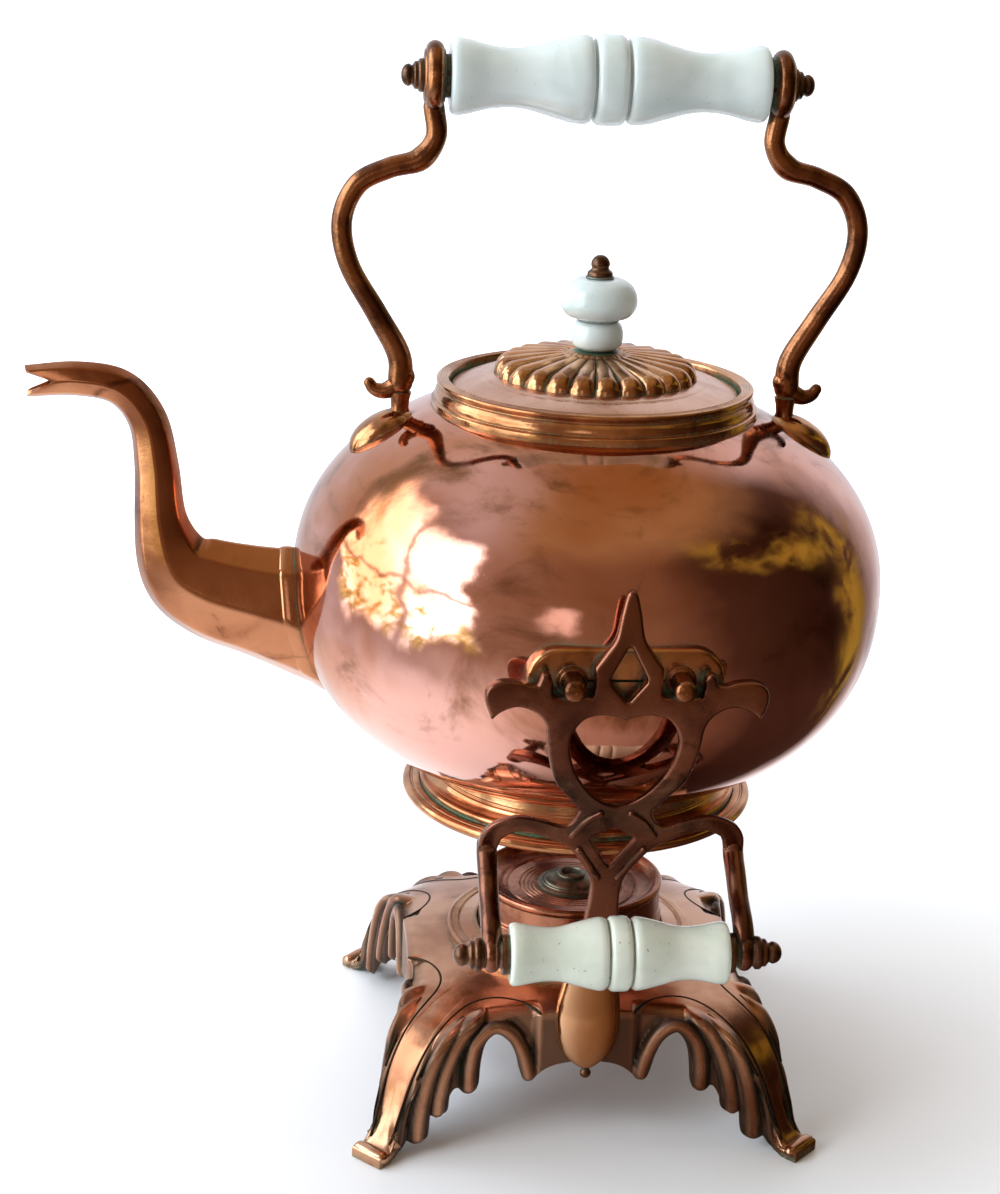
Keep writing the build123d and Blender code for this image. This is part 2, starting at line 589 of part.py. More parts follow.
def crown_slab():
    """The base's top skin, turned about the axis."""
    top = Spline(*CROWN)
    low = Spline(*[(r - drop(i), z - BASE_T) for i, (r, z) in enumerate(CROWN)])
    (r0, z0), (r1, z1) = CROWN[0], CROWN[-1]
    ends = Line((r0, z0), (r0, z0 - BASE_T)) + Line((r1, z1), (r1 - drop(len(CROWN) - 1), z1 - BASE_T))
    return revolve(make_face(Plane.XZ * (top + low + ends)), Axis.Z)


def drop(i):
    """How far the skin's inner face stands in from the outer one, by station."""
    return (0, 0, 0.2, 0.6, 1.4, 2.4, 3.0, 2.6, 0.6, 0.0)[i]


def plan(inset=0.0):
    """Plan of the base: four curved sides that run out to narrow toes."""
    half = TOE_W / 2 - 0.5 * inset
    toe = ((TOE_S - half) / sqrt(2), (TOE_S + half) / sqrt(2))
    reach = TOE_S - 11
    neck = ((reach - half - 0.4) / sqrt(2), (reach + half + 0.4) / sqrt(2))
    knee = (57.0 - inset, SIDE_Y + 9.1 - inset)
    side = Spline((0, SIDE_Y - inset), (26, SIDE_Y + 0.8 - inset), (43.0, SIDE_Y + 3.1 - inset), knee, neck,
                  tangents=[(1, 0), (1, 1)])
    wedge = make_face(side + Polyline(neck, toe, (TOE_S / sqrt(2), TOE_S / sqrt(2)), (0, 0), (0, SIDE_Y - inset)))
    quarter = wedge + mirror(wedge, Plane(origin=(0, 0, 0), z_dir=(1, -1, 0)))
    half_plan = quarter + mirror(quarter, Plane.YZ)
    return half_plan + mirror(half_plan, Plane.XZ)


def at_share(points):
    """Front-view points whose heights are given as shares of CROWN_Z."""
    return [(x, share * CROWN_Z) for x, share in points]


def side_panel():
    """Front view of one side wall: window feet, flute tips and the scalloped hem."""
    hem = Polyline(*at_share([(0, 0.570), (12, 0.542), (18.5, 0.494), (22.5, 0.504), (24.4, 0.551)]))
    window = Spline(*at_share([(24.4, 0.551), (25.6, 0.694), (32.0, 0.787), (38.2, 0.684), (39.6, 0.409)]),
                    tangents=[(0, 1), (0, -1)])
    flutes = Polyline(*at_share([(39.6, 0.409), (43.5, 0.390), (47.5, 0.342), (52.5, 0.266), (56.0, 0.181),
                                 (60.0, 0.095), (66.0, 0), (84.0, 0), (84.0, 1.065), (0, 1.065), (0, 0.570)]))
    half = make_face(hem + window + flutes)
    return half + mirror(half, Plane.YZ)


def gadroon(points, radii):
    """A rounded flute along (across, out from SIDE_Y, share of CROWN_Z) points."""
    return tube_along([(x, -SIDE_Y - out, share * CROWN_Z) for x, out, share in points], radii)


def side_fingers():
    """Gadroons on half a side: the hooked finger over the window and two flutes."""
    hook = gadroon([(41.3, 5.0, 0.390), (40.6, 3.6, 0.646), (32.4, 0.8, 0.848), (24.0, 1.2, 0.703), (20.6, 3.4, 0.456)],
                   [2.0, 3.2, FINGER_R, FINGER_R, FINGER_R, 3.0, 1.7])
    second = gadroon([(40.5, -2.0, 0.856), (46.6, 3.2, 0.684), (51.0, 7.4, 0.456), (52.6, 9.0, 0.247)],
                     [2.2, 3.4, FINGER_R, 3.0, 1.6])
    first = gadroon([(46.5, -1.4, 0.875), (53.4, 4.8, 0.703), (58.2, 10.2, 0.418), (60.0, 12.4, 0.087)],
                    [2.2, 3.4, FINGER_R, 3.0, 1.6])
    return [hook, second, first]


def toe_roll():
    """Upturned rolled end of one toe, on the diagonal between +X and -Y."""
    roll = Pos(TOE_S - TOE_ROLL_R, 0, TOE_ROLL_R) * Rot(90, 0, 0) * Cylinder(TOE_ROLL_R, TOE_W)
    pad = Pos(TOE_S - 7.0, 0, 2.0) * Cylinder(4.6, 4.0)
    return Rot(0, 0, -45) * (roll + pad)


def octant():
    """Half of one side of the base, between the -Y axis and the diagonal towards +X."""
    wedge = extrude(make_face(Polyline((0, 0), (TOE_S, -TOE_S), (0, -TOE_S), close=True)), 60)
    shape = plan() & make_face(Polyline((0, 0), (TOE_S, -TOE_S), (0, -TOE_S), close=True))
    skin = crown_slab() & extrude(shape, 60)
    wall = extrude(shape - plan(BASE_T), 0.93 * CROWN_Z) & crown_fill()
    wall &= extrude(Plane.XZ.offset(SIDE_Y - 8) * side_panel(), 30)
    fingers = [finger & wedge for finger in side_fingers()]
    return skin.fuse(wall, *fingers)


def stand_base():
    """Cast base: domed skin, fluted side walls with arched windows, four legs with rolled toes."""
    half = octant()
    side = half.fuse(mirror(half, Plane.YZ))
    sides = [Rot(0, 0, turn) * side for turn in (90, 180, 270)]
    toes = [Rot(0, 0, turn) * toe_roll() for turn in (0, 90, 180, 270)]
    return side.fuse(*sides).fuse(*toes)


def crown_fill():
    """Everything below the base's outer face."""
    top = Spline(*CROWN)
    (r0, z0), (r1, z1) = CROWN[0], CROWN[-1]
    close = Polyline((r1, z1), (r1, 0), (0, 0), (0, z0), (r0, z0))
    return revolve(make_face(Plane.XZ * (top + close)), Axis.Z)


def seat_ring():
    """Flat ring on the base that locates the lamp."""
    bore = LAMP_R + LAMP_GAP
    floor = CROWN_Z
    ring = turned([
        (CROWN[0][0], floor - 2.0), (SEAT_R, floor - 2.0), (SEAT_R, SEAT_Z - 0.8), (SEAT_R - 0.8, SEAT_Z),
        (bore + 1.0, SEAT_Z), (bore + 1.0, SEAT_Z + 1.2), (bore, SEAT_Z + 1.2), (bore, floor + 1.2),
        (CROWN[0][0], floor + 1.2)])
    return ring - crown_fill()


# ---- lamp ---------------------------------------------------------------------------------

def lamp_font():
    """Open drum that holds the spirit, with a step near the foot."""
    r = LAMP_R
    return turned([(0, LAMP_Z), (r - 1.0, LAMP_Z), (r, LAMP_Z + 1.0), (r, LAMP_Z + 8.2), (r - 0.7, LAMP_Z + 8.8),
                   (r - 0.7, LAMP_TOP - 3.0), (r - 0.7 - LAMP_WALL, LAMP_TOP - 3.0), (r - 0.7 - LAMP_WALL, LAMP_Z + 9.2),
                   (r - LAMP_WALL - 0.2, LAMP_Z + 7.8), (r - LAMP_WALL - 0.2, LAMP_Z + LAMP_WALL), (0, LAMP_Z + LAMP_WALL)])


def lamp_top():
    """Dished cover with a rolled rim, two incised rings and a threaded hole for the burner."""
    r = LAMP_R
    z = LAMP_TOP
    line = [(BURNER_R, z - DISH), (15.6, z - DISH), (16.0, z - DISH - 0.4), (16.4, z - DISH), (18.8, z - DISH),
            (19.2, z - DISH - 0.4), (19.6, z - DISH), (26.0, z - DISH + 0.4), (r - 3.4, z - 2.2), (r - 2.6, z - 0.4),
            (r - 1.3, z), (r, z - 1.0), (r, z - 2.4), (r - 0.7, z - 3.0), (r - 2.2, z - 3.0), (r - 3.4, z - 4.4),
            (26.0, z - DISH - 1.2), (BURNER_R, z - DISH - 1.4)]
    return turned(line)


def burner():
    """Stepped screw collar that carries the wick tube."""
    z = LAMP_TOP - DISH
    return turned([(TUBE_R, z - 5.0), (BURNER_R, z - 5.0), (BURNER_R, z), (12.4, z), (12.4, z + 1.2), (10.8, z + 1.8),
                   (10.0, z + 1.8), (9.6, z + 2.6), (7.0, z + 2.9), (6.6, z + 3.4), (TUBE_R, z + 3.4)])


def wick_tube():
    """Thin tube with a rolled lip."""
    low = LAMP_Z + 6.0
    top = TUBE_TOP
    return turned([(WICK_R + 0.3, low), (TUBE_R, low), (TUBE_R, top - 1.9), (TUBE_R + 0.9, top - 1.4),
                   (TUBE_R + 0.9, top - 0.5), (TUBE_R + 0.3, top), (WICK_R + 0.5, top), (WICK_R + 0.3, top - 0.4)])


def wick():
    """Cotton wick, from the bottom of the font to just inside the tube's mouth."""
    low = LAMP_Z + LAMP_WALL + 1.0
    return Pos(0, 0, (low + TUBE_TOP - 2.0) / 2) * Cylinder(WICK_R, TUBE_TOP - 2.0 - low)


# ---- files --------------------------------------------------------------------------------

def write(name, solid):
    """Write one node's STEP file."""
    solid.label = name
    export_step(solid, f"parts/{name}.step")


def write_kettle():
    """Everything that tips with the kettle, apart from the lid."""
    bowl, shoulder = belly_halves()
    write("kettle_body", bowl)
    write("kettle_shoulder", shoulder)
    write("foot_ring", foot_ring())
    write("neck_collar", neck_collar())
    write("spout", spout())
    write("spout_collar", spout_collar())
    for name, piece in (("saddle", saddle_right()), ("handle_arm", handle_arm_right())):
        write(f"{name}_right", piece)
        write(f"{name}_left", mirror(piece, Plane.YZ))
    up = Pos(0, 0, GRIP_Z)
    eye = ARM_X + ARM_THICK / 2
    write("top_grip", up * grip(GRIP_HALF, GRIP_END_R, GRIP_WAIST_R, GRIP_MID_R, ROD_R))
    write("top_rod", up * rod_on_x(eye + 0.7 * FINIAL_L, ROD_R))
    write("top_washers", up * washers(GRIP_HALF, ARM_X - ARM_THICK / 2, 1.3 * FINIAL_R, ROD_R))
    write("top_finials", up * finials(eye, FINIAL_R, FINIAL_L, ROD_R))
    for name, piece in (("trunnion_pad", trunnion_pad()), ("trunnion_pegs", trunnion_pegs())):
        front, rear = front_and_rear(piece)
        write(f"{name}_front", front)
        write(f"{name}_rear", rear)


def write_lid():
    """The lift-off lid and its glass knob."""
    write("lid_plate", lid_plate())
    write("lid_rosette", lid_rosette())
    write("knob_glass", knob_glass())
    write("knob_washers", knob_washers())
    write("knob_nut", knob_nut())
    write("knob_stud", knob_stud())


def write_stand():
    """Base, seat ring, and the front bracket set with its twin at the rear."""
    write("stand_base", stand_base())
    write("seat_ring", seat_ring())
    low = Pos(0, -LOW_Y, LOW_Z)
    rod = HANGER_X + HANGER_R
    pieces = {
        "bracket": bracket(),
        "leaf": leaf(),
        "leaf_screw": leaf_screw(),
        "hangers": hanger(1) + hanger(-1),
        "low_grip": low * grip(LOW_HALF, LOW_END_R, LOW_WAIST_R, LOW_MID_R, LOW_ROD_R),
        "low_rod": low * rod_on_x(rod + 0.7 * LOW_FINIAL_L, LOW_ROD_R),
        "low_washers": low * washers(LOW_HALF, HANGER_X - HANGER_R, 1.2 * LOW_FINIAL_R, LOW_ROD_R),
        "low_finials": low * finials(rod, LOW_FINIAL_R, LOW_FINIAL_L, LOW_ROD_R),
    }
    for name, piece in pieces.items():
        front, rear = front_and_rear(piece)
        write(f"{name}_front", front)
        write(f"{name}_rear", rear)


def write_lamp():
    """The spirit lamp that lifts out of its seat."""
    write("lamp_font", lamp_font())
    write("lamp_top", lamp_top())
    write("burner", burner())
    write("wick_tube", wick_tube())
    write("wick", wick())


def main():
    os.makedirs("parts", exist_ok=True)
    write_kettle()
    write_lid()
    write_stand()
    write_lamp()


main()
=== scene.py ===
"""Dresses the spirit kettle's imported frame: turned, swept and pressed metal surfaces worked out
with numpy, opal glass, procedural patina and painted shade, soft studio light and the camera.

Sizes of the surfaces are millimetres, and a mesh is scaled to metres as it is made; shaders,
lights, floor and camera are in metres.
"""

import bmesh
import bpy
import numpy as np
from mathutils import Matrix, Vector
from mathutils.geometry import delaunay_2d_cdt


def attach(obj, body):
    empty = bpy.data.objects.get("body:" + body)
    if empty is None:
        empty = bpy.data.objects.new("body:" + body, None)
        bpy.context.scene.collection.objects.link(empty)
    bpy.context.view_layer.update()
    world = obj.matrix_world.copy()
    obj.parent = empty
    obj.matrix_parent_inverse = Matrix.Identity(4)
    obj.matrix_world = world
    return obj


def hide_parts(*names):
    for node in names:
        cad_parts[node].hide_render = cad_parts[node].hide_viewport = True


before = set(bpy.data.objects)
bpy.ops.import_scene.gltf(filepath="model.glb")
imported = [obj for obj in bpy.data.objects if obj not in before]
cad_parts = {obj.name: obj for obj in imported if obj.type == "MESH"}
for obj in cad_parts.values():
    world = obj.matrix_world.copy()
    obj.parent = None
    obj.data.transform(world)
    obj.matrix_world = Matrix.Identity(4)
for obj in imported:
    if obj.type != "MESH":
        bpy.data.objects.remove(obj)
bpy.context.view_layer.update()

MM = 0.001
TAU = 2 * np.pi

# ---- sizes shared with the solids --------------------------------------------------------

BELLY_R = 105.3
BELLY_Z = 192.0  # its widest line
BELLY_UP = 71.7  # how far it would rise above that line, were it closed
BELLY_DOWN = 76.6
BELLY_POWER = 2.22
BELLY_WALL = 1.2
NECK_R = 51.0
COLLAR_WALL = 6.5
COLLAR_TOP = 264.5
FOOT_R = 64.2
FOOT_Z = 110.2
SPOUT_WALL = 1.4
BURIED = 0.8  # how far the spout runs into the belly's skin
SADDLE_X = 75.0
GRIP_Z = 367.8  # axis of the handle's grip
ARM_X = 59.2  # middle of an arm's eye
ARM_FOOT_X = 68.4
PAD_Y = 107.6  # face of the boss that carries the pegs
PAD_HALF = 32.0
PAD_R = 10.5
PEG_X = 17.5
PEG_Y = 119.8  # tips of the pegs
PEG_Z = 191.0
LID_EDGE_Z = 261.7
ROSETTE_Z = 266.9
KNOB_Z = 275.5
CASTING_HALF = 2.62
CASTING_BEVEL = 1.15
LOW_Y = 122.0  # axis of a carrying grip, out from the kettle's
LOW_Z = 102.5
HANGER_X = 41.2
SIDE_Y = 61.5  # wall of the base behind a leaf
TOE_REACH = 111.0
TOE_R = 2.85
SEAT_R = 46.0
SEAT_Z = 55.4
LAMP_R = 34.3
LAMP_TOP = 75.2

TOP_GRIP = {"half": 54.1, "end_r": 12.9, "waist_r": 9.9, "mid_r": 15.2, "bore": 2.65}
TOP_WASHERS = {"inner": 54.15, "outer": ARM_X - 3.8, "radius": 7.28, "bore": 2.65}
TOP_NUTS = {"seat": ARM_X + 3.75, "radius": 5.6, "length": 7.6}
LOW_GRIP = {"half": 35.5, "end_r": 10.2, "waist_r": 8.7, "mid_r": 12.2, "bore": 2.25}
LOW_WASHERS = {"inner": 35.55, "outer": 37.85, "radius": 6.48, "bore": 2.25}
LOW_NUTS = {"seat": 44.6, "radius": 5.4, "length": 9.0}

SPLINE_STEPS = 40  # fine steps in each span of a curve, before it is sampled evenly


# ---- numpy surfaces ------------------------------------------------------------------------

def spline(points, count):
    """Catmull-Rom curve through the points, sampled evenly by length: count points."""
    p = np.asarray(points, float)
    q = np.vstack([2 * p[0] - p[1], p, 2 * p[-1] - p[-2]])
    spans = len(p) - 1
    t = np.linspace(0, spans, spans * SPLINE_STEPS, endpoint=False)
    i = t.astype(int)
    f = (t - i)[:, None]
    a, b, c, d = q[i], q[i + 1], q[i + 2], q[i + 3]
    fine = 0.5 * (2 * b + (c - a) * f + (2 * a - 5 * b + 4 * c - d) * f ** 2
                  + (3 * b - a - 3 * c + d) * f ** 3)
    fine = np.vstack([fine, p[-1:]])
    along = np.concatenate([[0], np.cumsum(np.linalg.norm(np.diff(fine, axis=0), axis=1))])
    want = np.linspace(0, along[-1], count)
    return np.stack([np.interp(want, along, column) for column in fine.T], 1)


def soften(points, cut=0.4, rounds=3):
    """A closed outline with each corner cut back by a length, again and again, until it is round."""
    p = np.asarray(points, float)
    for _ in range(rounds):
        before, after = np.roll(p, 1, 0) - p, np.roll(p, -1, 0) - p
        lb, la = (np.linalg.norm(v, axis=1, keepdims=True) + 1e-9 for v in (before, after))
        p = np.stack([p + before / lb * np.minimum(cut, 0.3 * lb),
                      p + after / la * np.minimum(cut, 0.3 * la)], 1)
        p = p.reshape(-1, p.shape[-1])
        cut *= 0.45
    return p


def quads_of(rows, cols, wrap_rows=False, wrap_cols=False):
    """Four-cornered faces of a grid of points, closed round on itself either way."""
    last_row = rows if wrap_rows else rows - 1
    last_col = cols if wrap_cols else cols - 1
    i, j = np.meshgrid(np.arange(last_row), np.arange(last_col), indexing="ij")
    k, m = (i + 1) % rows, (j + 1) % cols
    return np.stack([i * cols + j, i * cols + m, k * cols + m, k * cols + j], -1).reshape(-1, 4)


def turned(outline, segments=144, wave=None):
    """Surface of revolution: each (radius, height) point of a closed outline goes once round Z.
    wave(angle, radius, height) may add a small radial change."""
    outline = np.asarray(outline, float)
    r, z = (np.repeat(column[:, None], segments, 1) for column in outline.T)
    angle = np.repeat(np.linspace(0, TAU, segments, endpoint=False)[None], len(outline), 0)
    if wave is not None:
        r = r + wave(angle, r, z)
    points = np.stack([r * np.cos(angle), r * np.sin(angle), z], -1).reshape(-1, 3)
    return points, quads_of(len(outline), segments, True, True)


def along_x(surface, centre=(0, 0, 0)):
    """A surface turned about Z, laid along X and moved to a centre."""
    points, faces = surface
    return np.stack([points[:, 2], points[:, 1], points[:, 0]], 1) + centre, faces


def along_y(surface, centre=(0, 0, 0)):
    """A surface turned about Z, laid along -Y and moved to a centre."""
    points, faces = surface
    return np.stack([points[:, 0], -points[:, 2], points[:, 1]], 1) + centre, faces


def moved(surface, offset):
    """A surface shifted by an offset."""
    return surface[0] + np.asarray(offset, float), surface[1]


def flipped(surface, axis):
    """The reflection of a surface across the plane where that coordinate is zero."""
    points = surface[0].copy()
    points[:, axis] *= -1
    return points, surface[1][:, ::-1]


def mirrored(surface, axis):
    """A surface together with its reflection."""
    return joined([surface, flipped(surface, axis)])


def reflected(surfaces, axis, wanted):
    """The surfaces, or the reflection of each where that is wanted."""
    return [flipped(surface, axis) for surface in surfaces] if wanted else surfaces


def joined(surfaces):
    """Several surfaces as one."""
    points, faces, count = [], [], 0
    for p, f in surfaces:
        points.append(p)
        faces.append(f + count)
        count += len(p)
    return np.vstack(points), np.vstack(faces)


def swept(path, radii, sides=24, section=None):
    """A bar along a path with round ends: at each station the section, a unit outline times the
    radius, stands square to the path, with its first axis along Y."""
    path = np.asarray(path, float)
    radii = np.broadcast_to(np.asarray(radii, float), (len(path),))
    tangent = np.gradient(path, axis=0)
    tangent /= np.linalg.norm(tangent, axis=1, keepdims=True)
    turn = np.linspace(0, np.pi / 2, 7)[:-1]
    head = path[0] - tangent[0] * radii[0] * np.cos(turn)[:, None]
    tail = path[-1] + tangent[-1] * radii[-1] * np.cos(turn[::-1])[:, None]
    centres = np.vstack([head, path, tail])
    sizes = np.concatenate([radii[0] * np.sin(turn), radii, radii[-1] * np.sin(turn[::-1])])
    lines = np.vstack([np.repeat(tangent[:1], len(turn), 0), tangent, np.repeat(tangent[-1:], len(turn), 0)])
    side_axis = np.array([0.0, 1.0, 0.0])
    side = side_axis - lines * (lines @ side_axis)[:, None]
    side /= np.linalg.norm(side, axis=1, keepdims=True)
    other = np.cross(lines, side)
    if section is None:
        a = np.linspace(0, TAU, sides, endpoint=False)
        section = np.stack([np.cos(a), np.sin(a)], 1)
    points = (centres[:, None] + side[:, None] * (sizes[:, None] * section[None, :, 0])[..., None]
              + other[:, None] * (sizes[:, None] * section[None, :, 1])[..., None])
    return points.reshape(-1, 3), quads_of(len(centres), len(section), False, True)


def gap_to(points, line):
    """Distance from each 2-D point to the nearest point of a line."""
    return np.min(np.linalg.norm(points[:, None] - line[None], axis=2), axis=1)


def inside(points, outline):
    """True where a 2-D point lies inside a closed outline, by counting crossings to its right."""
    x, y = points[:, 0][:, None], points[:, 1][:, None]
    a, b = outline, np.roll(outline, -1, 0)
    straddles = (a[:, 1] > y) != (b[:, 1] > y)
    rise = np.where(b[:, 1] == a[:, 1], 1e-12, b[:, 1] - a[:, 1])
    cross = (b[:, 0] - a[:, 0]) * (y - a[:, 1]) / rise + a[:, 0]
    return (straddles & (x < cross)).sum(1) % 2 == 1


def inset(outline, depth):
    """A closed outline moved inwards (to its left, when it runs anticlockwise) by a depth."""
    ahead = np.roll(outline, -1, 0) - np.roll(outline, 1, 0)
    ahead /= np.linalg.norm(ahead, axis=1, keepdims=True) + 1e-9
    return outline + depth * np.stack([-ahead[:, 1], ahead[:, 0]], 1)


def anticlockwise(outline):
    """The outline, turned round if it runs clockwise."""
    x, y = outline[:, 0], outline[:, 1]
    return outline if np.sum(x * np.roll(y, -1) - y * np.roll(x, -1)) > 0 else outline[::-1]


def within(points, rims):
    """True where a 2-D point lies inside the first outline and outside the others."""
    keep = inside(points, rims[0])
    for rim in rims[1:]:
        keep &= ~inside(points, rim)
    return keep


def plate_edges(loops, half, bevel):
    """Rounded edges of a plate: each outline is carried from the lower face to the upper one round
    two quarter circles with a straight wall between them."""
    quarter = np.linspace(0, np.pi / 2, 5)
    made = []
    for loop in loops:
        rows = []
        for side, turns in ((-1, quarter[::-1]), (1, quarter)):
            for t in turns:
                depth = side * (half - bevel + bevel * np.sin(t))
                rows.append(np.column_stack([inset(loop, bevel * (1 - np.cos(t))),
                                             np.full(len(loop), depth)]))
        made.append((np.vstack(rows), quads_of(len(rows), len(loop), False, True)))
    return joined(made)


def plate_faces(rims, half, grain=2.4):
    """Both faces of a plate: Delaunay triangles between its inset outlines, over a slanting lattice
    of points one grain apart."""
    low, high = rims[0].min(0), rims[0].max(0)
    gx, gy = np.meshgrid(np.arange(low[0], high[0], grain), np.arange(low[1], high[1], grain))
    seeds = np.column_stack([gx.ravel() + 0.37 * (gy.ravel() / grain % 2), gy.ravel()])
    near = np.min([gap_to(seeds, rim) for rim in rims], axis=0)
    seeds = seeds[within(seeds, rims) & (near > 0.45 * grain)]
    flat, edges = [], []
    for rim in rims:
        start, count = len(flat), len(rim)
        flat += [Vector(p) for p in rim]
        edges += [(start + i, start + (i + 1) % count) for i in range(count)]
    flat += [Vector(p) for p in seeds]
    where, _, triangles, _, _, _ = delaunay_2d_cdt(flat, edges, [], 0, 1e-6)
    where = np.array([tuple(p) for p in where])
    triangles = np.array([t for t in triangles if len(t) == 3])
    triangles = triangles[within(where[triangles].mean(1), rims)]
    return [(np.column_stack([where, np.full(len(where), side * half)]), triangles[:, ::side])
            for side in (-1, 1)]


# ---- pieces --------------------------------------------------------------------------------

def piece(name, surfaces, material, body, replaces=(), crease=40.0, weld=0.004, groove=None):
    """Makes a mesh object of one or more surfaces, welds its seams and poles, turns its faces
    outwards, and hands it to the frame. groove(points) may say, for each vertex, how much painted
    shade darkens it, from 0 to 1."""
    mesh = bpy.data.meshes.new(name)
    points, faces, count = [], [], 0
    for p, f in surfaces:
        points.append(np.asarray(p, float))
        faces += (np.asarray(f) + count).tolist()
        count += len(p)
    mesh.from_pydata((np.vstack(points) * MM).tolist(), [], faces)
    work = bmesh.new()
    work.from_mesh(mesh)
    bmesh.ops.remove_doubles(work, verts=work.verts, dist=weld * MM)
    bmesh.ops.dissolve_degenerate(work, edges=work.edges, dist=1e-7)
    bmesh.ops.recalc_face_normals(work, faces=work.faces)
    work.to_mesh(mesh)
    work.free()
    mesh.shade_smooth()
    mesh.set_sharp_from_angle(angle=np.radians(crease))
    mesh.materials.append(material)
    if groove is not None:
        where = np.empty(len(mesh.vertices) * 3)
        mesh.vertices.foreach_get("co", where)
        values = groove(where.reshape(-1, 3) / MM)
        mesh.attributes.new("groove", "FLOAT", "POINT").data.foreach_set("value", values)
    obj = bpy.data.objects.new(name, mesh)
    bpy.context.scene.collection.objects.link(obj)
    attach(obj, body)
    if replaces:
        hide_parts(*replaces)


# ---- materials -----------------------------------------------------------------------------

class Nodes:
    """Shorthand for building a node tree."""

    def __init__(self, tree):
        self.tree = tree

    def add(self, kind, inputs=(), **settings):
        """A node with its settings; inputs are (socket, value or linked socket)."""
        node = self.tree.nodes.new(kind)
        for key, value in settings.items():
            setattr(node, key, value)
        for socket, value in inputs:
            if isinstance(value, bpy.types.NodeSocket):
                self.tree.links.new(value, node.inputs[socket])
            else:
                node.inputs[socket].default_value = value
        return node

    def mix(self, factor, first, second):
        """Colour mix of two sockets or colours, which are the node's inputs 6 and 7."""
        node = self.add("ShaderNodeMix", [(0, factor), (6, first), (7, second)], data_type="RGBA")
        return node.outputs[2]

    def math(self, operation, *values):
        """One arithmetic step."""
        return self.add("ShaderNodeMath", list(enumerate(values)), operation=operation).outputs[0]

    def noise(self, coords, scale, detail=3.0, rough=0.5, distort=0.0):
        """Fractal noise value."""
        node = self.add("ShaderNodeTexNoise", [("Vector", coords), ("Scale", scale), ("Detail", detail),
                                               ("Roughness", rough), ("Distortion", distort)])
        return node.outputs[0]

    def step(self, value, low, high):
        """Smooth step from 0 at low to 1 at high."""
        node = self.add("ShaderNodeMapRange", [(0, value), (1, low), (2, high)],
                        interpolation_type="SMOOTHSTEP")
        return node.outputs[0]


def new_group(name, inputs, outputs):
    """A node group with float and colour sockets; returns its tree, helper and input node."""
    tree = bpy.data.node_groups.new(name, "ShaderNodeTree")
    for label, default in inputs:
        kind = "NodeSocketFloat" if isinstance(default, float) else "NodeSocketColor"
        socket = tree.interface.new_socket(label, in_out="INPUT", socket_type=kind)
        socket.default_value = default
    for label, kind in outputs:
        tree.interface.new_socket(label, in_out="OUTPUT", socket_type=kind)
    nodes = Nodes(tree)
    return tree, nodes, nodes.add("NodeGroupInput").outputs


